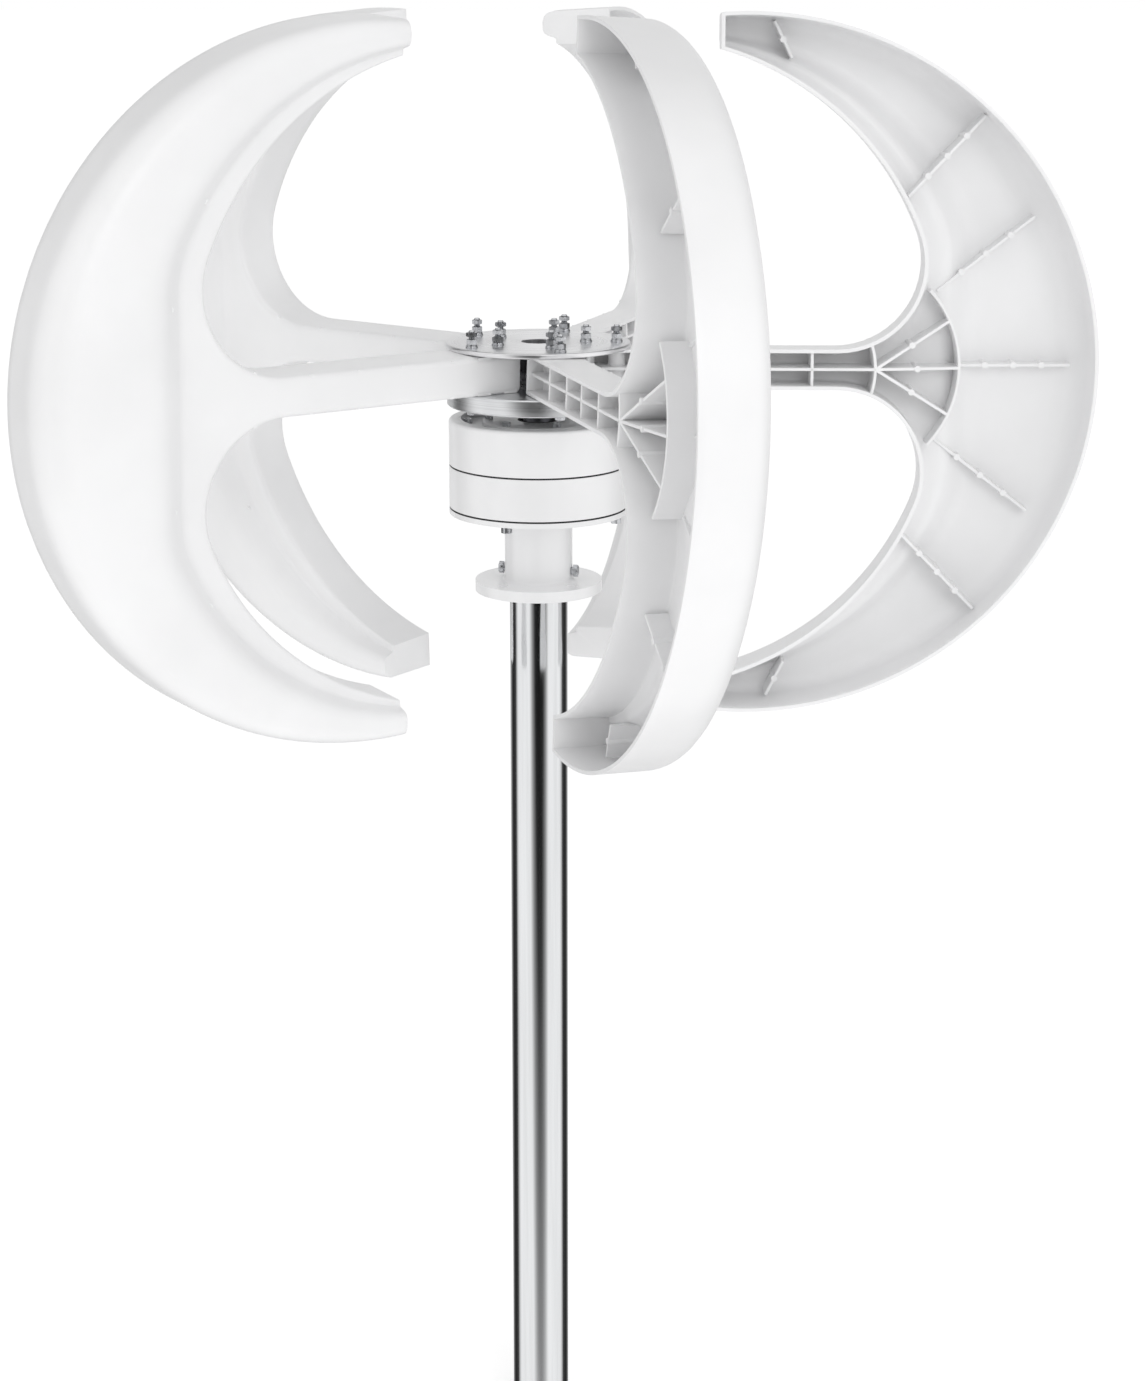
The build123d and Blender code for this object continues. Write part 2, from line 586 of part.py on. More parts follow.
def shaft():
    """Stepped shaft: bearing seats, thick middle, threaded end for disc, nut and sleeve."""
    body = rod(SHAFT_BEARING_R, Z_STUB, Z_DISC)
    body = body + rod(SHAFT_MIDDLE_R, Z_LOWER_BEARING + BEARING_WIDTH, Z_UPPER_BEARING)
    body = body + rod(SHAFT_END_R, Z_DISC, SHAFT_TOP)
    body = chamfer(body.edges().filter_by(GeomType.CIRCLE).group_by(Axis.Z)[-1], SHAFT_CHAMFER)
    groove_floor = Z_LOWER_BEARING - CIRCLIP_THICKNESS
    groove = rod(SHAFT_BEARING_R + OVERCUT, groove_floor, Z_LOWER_BEARING)
    groove = groove - bore(SHAFT_BEARING_R - CIRCLIP_DEPTH, groove_floor, Z_LOWER_BEARING)
    return body - groove - yoke_key_space(0) - disc_key_space(0)


def shaft_circlip():
    """Retaining ring under the lower bearing, open at one side."""
    z0, z1 = Z_LOWER_BEARING - CIRCLIP_THICKNESS, Z_LOWER_BEARING
    outer_r = SHAFT_BEARING_R + CIRCLIP_HEIGHT
    clip = ring(outer_r, SHAFT_BEARING_R - CIRCLIP_DEPTH + SEAT_CLEARANCE, z0, z1)
    return clip - block(0, outer_r + OVERCUT, -CIRCLIP_GAP / 2, CIRCLIP_GAP / 2, z0 - OVERCUT, z1 + OVERCUT)


# ---------------------------------------------------------------- hub
def hub_bolt_places():
    """Angle and radius of every hub bolt, two on each arm."""
    return [(i * 360 / BLADE_COUNT, r) for i in range(BLADE_COUNT) for r in HUB_BOLT_RADII]


def at_hub_bolts(item):
    return [Rot(0, 0, angle) * Pos(r, 0, 0) * item for angle, r in hub_bolt_places()]


def hub_bolt_holes(z0, z1):
    """Cutters for the hub bolts, through from z0 to z1."""
    return at_hub_bolts(bore(HUB_BOLT_R + HOLE_CLEARANCE, z0, z1))


def lower_disc():
    disc = rod(DISC_OD / 2, Z_DISC, Z_ARM)
    disc = chamfer(disc.edges().filter_by(GeomType.CIRCLE), DISC_CHAMFER)
    disc = disc - bore(SHAFT_END_R + SEAT_CLEARANCE, Z_DISC, Z_ARM) - disc_key_space(SEAT_CLEARANCE)
    return without(disc, hub_bolt_holes(Z_DISC, Z_ARM))


def top_plate():
    plate = rod(TOP_PLATE_OD / 2, Z_PLATE, Z_PLATE_TOP)
    plate = chamfer(plate.edges().filter_by(GeomType.CIRCLE), TOP_PLATE_CHAMFER)
    plate = plate - bore(TOP_PLATE_BORE / 2, Z_PLATE, Z_PLATE_TOP)
    return without(plate, hub_bolt_holes(Z_PLATE, Z_PLATE_TOP))


def hub_washer():
    return ring(HUB_WASHER_OD / 2, SHAFT_END_R + HOLE_CLEARANCE, Z_ARM, Z_HUB_WASHER_TOP)


def hub_nut():
    nut = hex_prism(HUB_NUT_ACROSS, Z_HUB_WASHER_TOP, Z_HUB_NUT_TOP)
    return nut - bore(SHAFT_END_R + THREAD_CLEARANCE, Z_HUB_WASHER_TOP, Z_HUB_NUT_TOP)


def hub_sleeve():
    """Spacer on the shaft between the nut and the top plate."""
    return ring(SLEEVE_OD / 2, SHAFT_END_R + HOLE_CLEARANCE, Z_HUB_NUT_TOP, Z_PLATE)


def hub_bolts():
    """Bolts from under the disc, through arm and top plate."""
    length = Z_LOCK_NUT_TOP + HUB_BOLT_STICKOUT - Z_DISC
    bolt = hex_bolt(HUB_BOLT_R, HUB_BOLT_ACROSS, HUB_BOLT_HEAD, length)
    bolt = chamfer(bolt.edges().filter_by(GeomType.CIRCLE).group_by(Axis.Z)[-1], HUB_BOLT_CHAMFER)
    return group(at_hub_bolts(Pos(0, 0, Z_DISC) * bolt))


def hub_flat_washers():
    washer = ring(2 * HUB_BOLT_R, HUB_BOLT_R + HOLE_CLEARANCE, Z_PLATE_TOP, Z_PLATE_TOP + HUB_WASHER_STACK)
    return group(at_hub_bolts(washer))


def hub_spring_washers():
    """Split washers under the nuts."""
    z0, z1 = Z_PLATE_TOP + HUB_WASHER_STACK, HUB_CLAMP_TOP
    washer = ring(SPRING_WASHER_OD / 2, HUB_BOLT_R + HOLE_CLEARANCE, z0, z1)
    half_split = SPRING_WASHER_SPLIT / 2
    split = block(0, SPRING_WASHER_OD, -half_split, half_split, z0 - OVERCUT, z1 + OVERCUT)
    return group(at_hub_bolts(washer - split))


def hub_bolt_nut(z0, z1):
    return hex_prism(HUB_BOLT_ACROSS, z0, z1) - bore(HUB_BOLT_R + THREAD_CLEARANCE, z0, z1)


def hub_nuts():
    return group(at_hub_bolts(hub_bolt_nut(HUB_CLAMP_TOP, Z_HUB_NUTS_TOP)))


def hub_lock_nuts():
    """Second nut near each bolt's end, clear of the first."""
    return group(at_hub_bolts(hub_bolt_nut(Z_LOCK_NUT, Z_LOCK_NUT_TOP)))


# ---------------------------------------------------------------- blades
# A blade is drawn in its own plane: x along the arm, y up the blade, and depth away from
# the open rim. The plane stands on the arm and the depth points along the rotor's turn.
def polar_point(centre, radius, degrees):
    angle = math.radians(degrees)
    return (centre[0] + radius * math.cos(angle), centre[1] + radius * math.sin(angle))


def inner_arc_centre():
    """Centre and radius of the inner edge: tangent to the cove and through the tip."""
    cove_r = COVE_Z - ARM_HEIGHT / 2
    join = polar_point((COVE_X - cove_r, COVE_Z), cove_r, COVE_JOIN_DEG)
    normal = polar_point((0, 0), 1, COVE_JOIN_DEG)
    dx = TIP_X - join[0]
    dy = TIP_INNER_Z - join[1]
    radius = -(dx * dx + dy * dy) / (2 * (dx * normal[0] + dy * normal[1]))
    return (join[0] - radius * normal[0], join[1] - radius * normal[1]), radius


def reach_on_circle(centre, radius, degrees):
    """Distance from the blade's pole to the far side of a circle, along a ray."""
    cx = centre[0] - TIP_X
    ray = polar_point((0, 0), 1, degrees)
    along = cx * ray[0] + centre[1] * ray[1]
    return along + math.sqrt(radius ** 2 - cx ** 2 - centre[1] ** 2 + along ** 2)


def inner_reach(degrees):
    """Distance from the blade's pole to its inner edge, without the arm."""
    cove_r = COVE_Z - ARM_HEIGHT / 2
    cove_centre = (COVE_X - cove_r, COVE_Z)
    join = polar_point(cove_centre, cove_r, COVE_JOIN_DEG)
    angle = abs(degrees)
    if angle > math.degrees(math.atan2(join[1], join[0] - TIP_X)):
        centre, radius = inner_arc_centre()
        return reach_on_circle(centre, radius, angle)
    return (COVE_X - TIP_X) / math.cos(math.radians(angle))


def crease_point(degrees, inset):
    """Point of the line where the deep bulge rises from the shallow shelf."""
    share = 1 - (abs(degrees) / 90) ** 2
    reach = inner_reach(degrees) + SHELF_TIP + (SHELF_MID - SHELF_TIP) * share + inset
    return polar_point((TIP_X, 0), reach, degrees)


def half_outline(inset, side):
    """Inner edge of one half, from the arm's root to the tip, then the outer end."""
    arm_y = ARM_HEIGHT / 2 - inset
    cove_r = COVE_Z - ARM_HEIGHT / 2
    cove_centre = (COVE_X - cove_r, COVE_Z)
    centre, radius = inner_arc_centre()
    tip_x = TIP_X + inset
    tip_inner = centre[1] + math.sqrt((radius + inset) ** 2 - (tip_x - centre[0]) ** 2)
    tip_outer = math.sqrt((OUTER_R - inset) ** 2 - (tip_x - OUTER_CENTRE_X) ** 2)
    cove_start = (cove_centre[0], arm_y)
    cove_middle = polar_point(cove_centre, cove_r + inset, (COVE_JOIN_DEG - 90) / 2)
    join = polar_point(cove_centre, cove_r + inset, COVE_JOIN_DEG)
    tip_angle = math.degrees(math.atan2(tip_inner - centre[1], tip_x - centre[0]))
    arc_middle = polar_point(centre, radius + inset, (COVE_JOIN_DEG + tip_angle) / 2)
    points = [cove_start, cove_middle, join, arc_middle, (tip_x, tip_inner), (tip_x, tip_outer)]
    return [(x, side * y) for x, y in points]


def blade_outline(inset):
    """Whole silhouette: arm, coves, crescent and tips."""
    root = (ARM_ROOT + inset, ARM_HEIGHT / 2 - inset)
    top = half_outline(inset, 1)
    low = half_outline(inset, -1)
    outer = (OUTER_CENTRE_X + OUTER_R - inset, 0)
    edges = Line(root, top[0]) + ThreePointArc(top[0], top[1], top[2]) + ThreePointArc(top[2], top[3], top[4])
    edges = edges + Line(top[4], top[5]) + ThreePointArc(top[5], outer, low[5]) + Line(low[5], low[4])
    edges = edges + ThreePointArc(low[4], low[3], low[2]) + ThreePointArc(low[2], low[1], low[0])
    edges = edges + Line(low[0], (root[0], -root[1])) + Line((root[0], -root[1]), root)
    return make_face(edges)


def bulge_outline(inset):
    """Crescent between the outer edge and the crease."""
    top = half_outline(inset, 1)
    low = half_outline(inset, -1)
    tip = (top[4][0], top[4][1] + SHELF_TIP)
    crease = Spline([tip] + [crease_point(a, inset) for a in CREASE_STEPS] + [(tip[0], -tip[1])])
    outer = (OUTER_CENTRE_X + OUTER_R - inset, 0)
    edges = Line(tip, top[5]) + ThreePointArc(top[5], outer, low[5]) + Line(low[5], (tip[0], -tip[1])) + crease
    return make_face(edges)


def blade_form(inset, past_rim=0.0):
    """Solid form of the blade, shrunk on every closed side by the inset."""
    lift = Pos(0, 0, -past_rim)
    flat = lift * extrude(blade_outline(inset), ARM_DEPTH - inset + past_rim)
    back = flat.edges().group_by(Axis.Z)[-1]
    arcs = back.filter_by(GeomType.CIRCLE)
    outer_length = max(edge.length for edge in arcs)
    inner_arcs = [edge for edge in arcs if edge.length < outer_length]
    flat = fillet(inner_arcs + list(back.filter_by(Axis.X)), BACK_EDGE_R - inset)
    bulge = lift * extrude(bulge_outline(inset), BULGE_DEPTH - inset + past_rim)
    crown = bulge.edges().group_by(Axis.Z)[-1].filter_by(Axis.Y, reverse=True)
    return flat + fillet(crown, BULGE_EDGE_R - inset)


def rib(start, end, recess):
    """Upright plate along a line of the blade's plane, from under the rim to the back."""
    length = math.dist(start, end)
    angle = math.degrees(math.atan2(end[1] - start[1], end[0] - start[0]))
    plate = block(0, length, -RIB_THICKNESS / 2, RIB_THICKNESS / 2, recess, BULGE_DEPTH)
    return Pos(start[0], start[1], 0) * Rot(0, 0, angle) * plate


def arc_rib(centre_x, radius, half_angle, recess):
    """Curved upright plate about a centre on the arm's line."""
    plate = ring(radius + RIB_THICKNESS / 2, radius - RIB_THICKNESS / 2, recess, BULGE_DEPTH)
    wedge = extrude(wedge_face(2 * radius, half_angle), BULGE_DEPTH)
    return Pos(centre_x, 0, 0) * (plate & wedge)


def pegs(start, end, count, recess):
    """Round bosses spaced evenly along a rib."""
    peg = rod(RIB_BOSS_R, recess, BULGE_DEPTH)
    shares = [(i + 1) / (count + 1) for i in range(count)]
    places = [(start[0] + (end[0] - start[0]) * s, start[1] + (end[1] - start[1]) * s) for s in shares]
    return [Pos(x, y, 0) * peg for x, y in places]


def blade_ribs():
    """Every stiffening rib and boss, before it is trimmed to the blade's form."""
    half = ARM_HEIGHT / 2
    hub_point = (FAN_HUB_X, 0)
    plates = [rib((HUB_BOLT_RADII[1], 0), hub_point, ARM_RIB_RECESS)]
    plates = plates + [rib((x, -half), (x, half), ARM_RIB_RECESS) for x in ARM_RIB_X]
    plates.append(arc_rib(HUB_ARC_CENTRE_X, FAN_HUB_X - HUB_ARC_CENTRE_X, HUB_ARC_DEG, ARM_RIB_RECESS))
    plates.append(arc_rib(FAN_ARC_CENTRE_X, FAN_ARC_R, FAN_ARC_DEG, FAN_ARC_RECESS))
    for end in FAN_RIBS:
        plates.append(rib(hub_point, end, ARM_RIB_RECESS))
        plates = plates + pegs(hub_point, end, 1, ARM_RIB_RECESS)
    lines = [(start, end, recess) for (start, end), recess in zip(RADIAL_RIBS, RADIAL_RIB_RECESSES)]
    lines = lines + [((a[0], -a[1]), (b[0], -b[1]), recess) for a, b, recess in lines]
    lines.append((MIDDLE_RIB[0], MIDDLE_RIB[1], MIDDLE_RIB_RECESS))
    for start, end, recess in lines:
        plates.append(rib(start, end, recess))
        plates = plates + pegs(start, end, PEGS_PER_RIB, recess)
    return plates


def bolt_post(radius):
    """Full height post round a hub bolt, standing across the arm."""
    half = ARM_HEIGHT / 2
    web = block(-BOLT_BOSS_R, BOLT_BOSS_R, 0, ARM_DEPTH - RIM_OFFSET, -half, half)
    post = Cylinder(BOLT_BOSS_R, ARM_HEIGHT) + web
    return Pos(radius, 0, RIM_OFFSET) * Rot(90, 0, 0) * post


def root_block():
    """Solid inner end of the arm, and the pads that meet the clamp faces."""
    half = ARM_HEIGHT / 2
    pad_end = TOP_PLATE_OD / 2 - PAD_END_MARGIN
    pad_depth = ARM_DEPTH - BACK_EDGE_R
    end_block = block(ARM_ROOT, ARM_ROOT + ROOT_BLOCK, -half, half, 0, ARM_DEPTH) & blade_form(0)
    top_pad = block(ARM_ROOT, pad_end, half - BLADE_WALL, half + CLAMP_PAD, 0, pad_depth)
    low_pad = block(ARM_ROOT, pad_end, -half - CLAMP_PAD, BLADE_WALL - half, 0, pad_depth)
    return end_block + top_pad + low_pad


def mitre_cutter():
    """Wedge that slants the arm's inner end, so that neighbouring arms pass each other."""
    end = ARM_ROOT - OVERCUT
    lower = [(end, -OVERCUT), (ARM_ROOT + ARM_MITRE, -OVERCUT)]
    corners = lower + [(ARM_ROOT, ARM_DEPTH), (end, ARM_DEPTH + OVERCUT)]
    slant = Polyline(*corners, corners[0])
    return Pos(0, ARM_HEIGHT, 0) * Rot(90, 0, 0) * extrude(make_face(slant), 2 * ARM_HEIGHT)


def blade_blank():
    """Shell, ribs and bolt posts in the blade's own plane."""
    shell = blade_form(0) - blade_form(BLADE_WALL, OVERCUT)
    core = blade_form(BLADE_WALL / 2)
    for plate in blade_ribs():
        shell = shell + (plate & core)
    for radius in HUB_BOLT_RADII:
        shell = shell + (bolt_post(radius) & core)
    return shell + root_block() - mitre_cutter()


def blade():
    """Blade on its arm, tilted about the arm, trimmed to the clamp faces and bored."""
    upright = Pos(0, -RIM_OFFSET, 0) * Rot(-90, 0, 0) * blade_blank()
    body = Pos(0, 0, Z_HUB) * Rot(-BLADE_TILT, 0, 0) * upright
    clamp_end = TOP_PLATE_OD / 2 + CLAMP_PAD
    reach = 2 * ARM_DEPTH
    body = body - block(0, clamp_end, -reach, reach, Z_PLATE, Z_PLATE + ARM_HEIGHT)
    body = body - block(0, clamp_end, -reach, reach, Z_ARM - ARM_HEIGHT, Z_ARM)
    for radius in HUB_BOLT_RADII:
        body = body - Pos(radius, 0, 0) * bore(HUB_BOLT_R + HOLE_CLEARANCE, Z_ARM, Z_PLATE)
    return body


# ---------------------------------------------------------------- the whole turbine
def build_all():
    os.makedirs("parts", exist_ok=True)
    makers = [
        mast_tube, base_casting, mast_set_screws, cable_grommet, lower_gasket, lower_housing, upper_gasket,
        upper_housing, top_cover, top_cover_screws, bearing_cover, bearing_cover_screws, shaft_seal,
        housing_bolts, stator_core, stator_coils, shaft, shaft_circlip, magnet_yoke, rotor_magnets,
        lower_disc, hub_washer, hub_nut, hub_sleeve, top_plate, hub_bolts, hub_flat_washers,
        hub_spring_washers, hub_nuts, hub_lock_nuts,
    ]
    for maker in makers:
        save(maker.__name__, maker())
    save("yoke_key", yoke_key_space(0))
    save("disc_key", disc_key_space(0))
    for place, z0 in (("lower", Z_LOWER_BEARING), ("upper", Z_UPPER_BEARING)):
        save(f"{place}_outer_race", outer_race(z0))
        save(f"{place}_inner_race", inner_race(z0))
        save(f"{place}_balls", bearing_balls(z0))
        save(f"{place}_cage", bearing_cage(z0))
    first = blade()
    for i in range(BLADE_COUNT):
        save(f"blade_{i + 1}", Rot(0, 0, i * 360 / BLADE_COUNT) * first)


build_all()
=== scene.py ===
"""Vertical axis wind turbine: five hollow nylon blades, hub, ring generator and tube mast.

Run as a script. The frame's bodies and nodes are loaded first; each operator below then
makes one piece or one group of like pieces around them, in metres, in the frame's own axes.
"""
import json
import math

import bmesh
import bpy
from mathutils import Matrix, Vector


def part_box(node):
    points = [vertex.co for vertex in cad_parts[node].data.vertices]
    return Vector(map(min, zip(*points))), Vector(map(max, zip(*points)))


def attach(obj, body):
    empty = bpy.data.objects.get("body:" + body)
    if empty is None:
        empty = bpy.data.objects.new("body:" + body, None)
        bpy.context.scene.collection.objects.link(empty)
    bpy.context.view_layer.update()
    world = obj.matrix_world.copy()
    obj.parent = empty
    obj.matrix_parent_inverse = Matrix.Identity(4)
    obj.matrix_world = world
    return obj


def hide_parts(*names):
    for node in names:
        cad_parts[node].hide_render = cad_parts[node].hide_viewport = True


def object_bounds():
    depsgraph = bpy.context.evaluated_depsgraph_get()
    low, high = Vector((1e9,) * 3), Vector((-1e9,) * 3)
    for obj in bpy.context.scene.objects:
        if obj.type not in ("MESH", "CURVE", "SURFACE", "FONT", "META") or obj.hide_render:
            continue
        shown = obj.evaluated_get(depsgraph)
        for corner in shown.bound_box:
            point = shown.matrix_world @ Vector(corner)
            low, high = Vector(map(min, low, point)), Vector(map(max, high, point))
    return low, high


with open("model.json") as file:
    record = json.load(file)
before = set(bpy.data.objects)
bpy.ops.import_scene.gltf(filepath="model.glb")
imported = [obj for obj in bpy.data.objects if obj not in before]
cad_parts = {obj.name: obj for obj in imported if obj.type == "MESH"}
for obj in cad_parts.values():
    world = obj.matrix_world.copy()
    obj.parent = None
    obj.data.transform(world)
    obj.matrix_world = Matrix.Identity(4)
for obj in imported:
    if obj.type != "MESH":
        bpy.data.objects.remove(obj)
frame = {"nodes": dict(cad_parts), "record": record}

bl_info = {
    "name": "Vertical Axis Turbine",
    "version": (1, 0, 0),
    "blender": (4, 5, 0),
    "location": "View3D > Sidebar > Turbine",
    "description": "Builds the blades, hub, generator and mast of a small vertical axis wind turbine",
    "category": "Object",
}

CAD_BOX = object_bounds()
PLATE_LOW, PLATE_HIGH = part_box("top_plate")
DISC_LOW, DISC_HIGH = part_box("lower_disc")
BLADE_LOW, BLADE_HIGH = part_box("blade_1")
HUB_HEIGHT = (DISC_HIGH.z + PLATE_LOW.z) / 2
ARM_HALF = (PLATE_LOW.z - DISC_HIGH.z) / 2
BLADE_COUNT = sum(name.startswith("blade_") for name in frame["nodes"])
BLADE_ANGLE = math.tau / BLADE_COUNT

# places of the ribs in a blade's plane, and the depth of each rib's top under the open rim
ARM_RIB_PLACES = (0.094, 0.140, 0.179, 0.222)
ARM_RIB_TOP = 0.003
FAN_HUB = 0.273
FAN_TOP = 0.016
FAN_ENDS = ((0.333, 0.038), (0.342, 0.0), (0.333, -0.038))
HUB_ARC_CENTRE, HUB_ARC_HALF = 0.205, math.radians(18.5)
FAN_ARC_CENTRE, FAN_ARC_RADIUS, FAN_ARC_HALF = 0.250, 0.092, math.radians(43)
MIDDLE_RIB_ENDS = ((0.342, 0), (0.435, 0))
MIDDLE_RIB_TOPS = (0.036, 0.040)
MIDDLE_RIB_PEGS = 3
# start, end, top at the start, top at the end, pegs
CRESCENT_RIBS = (
    ((0.2035, 0.2475), (0.1895, 0.2765), 0.028, 0.030, 1),
    ((0.2985, 0.1380), (0.3600, 0.2020), 0.020, 0.030, 3),
    ((0.3250, 0.0610), (0.4030, 0.1210), 0.036, 0.040, 3),
)
BOLT_POST_RADIUS = 0.007
BOLT_WEB_WIDTH = 0.012
BOLT_WEB_SINK = 0.0015

# mast
MAST_WALL = 0.002
MAST_SPIGOT_STEP = 0.0005
MAST_DEBURR = 0.0006

# camera: distance from the axis, height above the hub, then its turns in radians
CAMERA_DISTANCE, CAMERA_HEIGHT = 2.1716, 0.3292
CAMERA_ROUND, CAMERA_PITCH, CAMERA_YAW = math.radians(2.03), 0.2197, -0.0133
CAMERA_LENS, CAMERA_SHIFT = 70.02, -0.1


# ---------------------------------------------------------------- sizes and colours
def length(name, description, default):
    """A length in metres that a user may set."""
    return bpy.props.FloatProperty(
        name=name, description=description, default=default, unit="LENGTH", precision=4
    )


def colour(name, description, default):
    """A colour that a user may set."""
    return bpy.props.FloatVectorProperty(
        name=name, description=description, default=default, subtype="COLOR", size=3, min=0.0, max=1.0
    )


class BladeSizes(bpy.types.PropertyGroup):
    """Sizes of one blade, in its own plane: x along the arm, y up, depth from the open rim."""

    wall: length("Wall", "Thickness of the moulded skin", 0.003)
    tilt: bpy.props.FloatProperty(
        name="Tilt", description="Lean of the open rim about the arm",
        default=math.radians(2.05), subtype="ANGLE",
    )
    rim_offset: length("Rim offset", "Distance from the arm's axis to the open rim", 0.021)
    root: length("Root", "Start of the arm, from the turbine's axis", 0.031)
    mitre: length("Mitre", "How far the arm's inner end slants back at the rim", 0.009)
    tip_x: length("Tip", "Distance of the flat tips from the turbine's axis", 0.146)
    tip_inner: length("Tip height", "Height of a tip's inner corner above the arm", 0.254)
    outer_centre: length("Outer centre", "Centre of the outer edge's circle, along the arm", 0.168)
    outer_radius: length("Outer radius", "Radius of the outer edge", BLADE_HIGH.x - 0.168)
    cove_x: length("Cove", "Deepest point of the cove, along the arm", 0.3105)
    cove_y: length("Cove height", "Height of that point above the arm", 0.085)
    depth: length("Depth", "Depth of the bulge behind the open rim", 0.0598)
    shelf_depth: length("Shelf depth", "Depth of the arm and of the shelf beside the inner edge", 0.041)
    shelf: length("Shelf", "Width of the shelf at the middle of the blade", 0.022)
    shelf_tip: length("Shelf at the tip", "Width of the shelf at the tips", 0.0055)
    rib: length("Rib", "Thickness of the stiffening ribs", 0.0024)
    peg: length("Peg", "Radius of the round bosses along the ribs", 0.0026)


class HubSizes(bpy.types.PropertyGroup):
    """Sizes of the fasteners and edges of the hub and generator."""

    inner_bolt: length("Inner bolt", "Distance of each arm's inner bolt from the axis", 0.039)
    outer_bolt: length("Outer bolt", "Distance of each arm's outer bolt from the axis", 0.064)
    bolt_radius: length("Bolt radius", "Radius of the hub bolts' shanks", 0.0025)
    thread_pitch: length("Thread pitch", "Distance between the hub bolts' threads", 0.0008)
    nut_width: length("Nut width", "Hub nuts, across their flats", 0.008)
    split: length("Split", "Gap in the spring washers", 0.0008)
    edge: length("Edge", "Eased edges of castings", 0.0008)
    fine_edge: length("Fine edge", "Eased edges of machined parts", 0.0003)


class TurbineColours(bpy.types.PropertyGroup):
    """Base colours of the finishes."""

    nylon: colour("Nylon", "Moulded white nylon of the blades", (0.86, 0.86, 0.865))
    enamel: colour("Enamel", "White enamel of the generator and its foot", (0.88, 0.88, 0.885))
    steel: colour("Polished steel", "Mast tube", (0.80, 0.81, 0.82))
    aluminium: colour("Turned aluminium", "Disc under the arms", (0.83, 0.84, 0.85))
    zinc: colour("Bright zinc", "Bolts, nuts and washers", (0.62, 0.63, 0.65))
    plate: colour("Plated steel", "Plate on top of the arms", (0.86, 0.86, 0.87))
    dark_steel: colour("Dark steel", "Shaft, sleeve and keys", (0.10, 0.10, 0.11))
    rubber: colour("Rubber", "Gaskets, seal and grommet", (0.012, 0.012, 0.013))
    brass: colour("Brass", "Bearing cages", (0.62, 0.43, 0.16))
    iron: colour("Laminated iron", "Stator and magnet wheel", (0.16, 0.16, 0.17))
    copper: colour("Copper", "Stator coils", (0.60, 0.26, 0.12))


# ---------------------------------------------------------------- outlines in a plane
def polar(centre, radius, angle):
    """Point on a circle."""
    return Vector((centre[0] + radius * math.cos(angle), centre[1] + radius * math.sin(angle)))


def spread(start, end, count):
    """Evenly spaced values, both ends included."""
    return [start + (end - start) * i / (count - 1) for i in range(count)]


def mix(a, b, share):
    return a + (b - a) * share


def rounded(corners, radii, steps):
    """Open outline with its inner corners rounded; every corner gives the same number of points."""
    points = [corners[0]]
    for before, corner, after, radius in zip(corners, corners[1:], corners[2:], radii):
        back, ahead = before - corner, after - corner
        half = back.angle(ahead) / 2
        cut = min(radius / math.tan(half), 0.48 * back.length, 0.48 * ahead.length)
        start, end = corner + back.normalized() * cut, corner + ahead.normalized() * cut
        for share in spread(0, 1, steps):
            bow = (1 - share) ** 2 * start + 2 * share * (1 - share) * corner + share ** 2 * end
            round_point = mix(start, end, share)
            points.append(mix(bow, round_point, 0.17))
    return points + [corners[-1]]


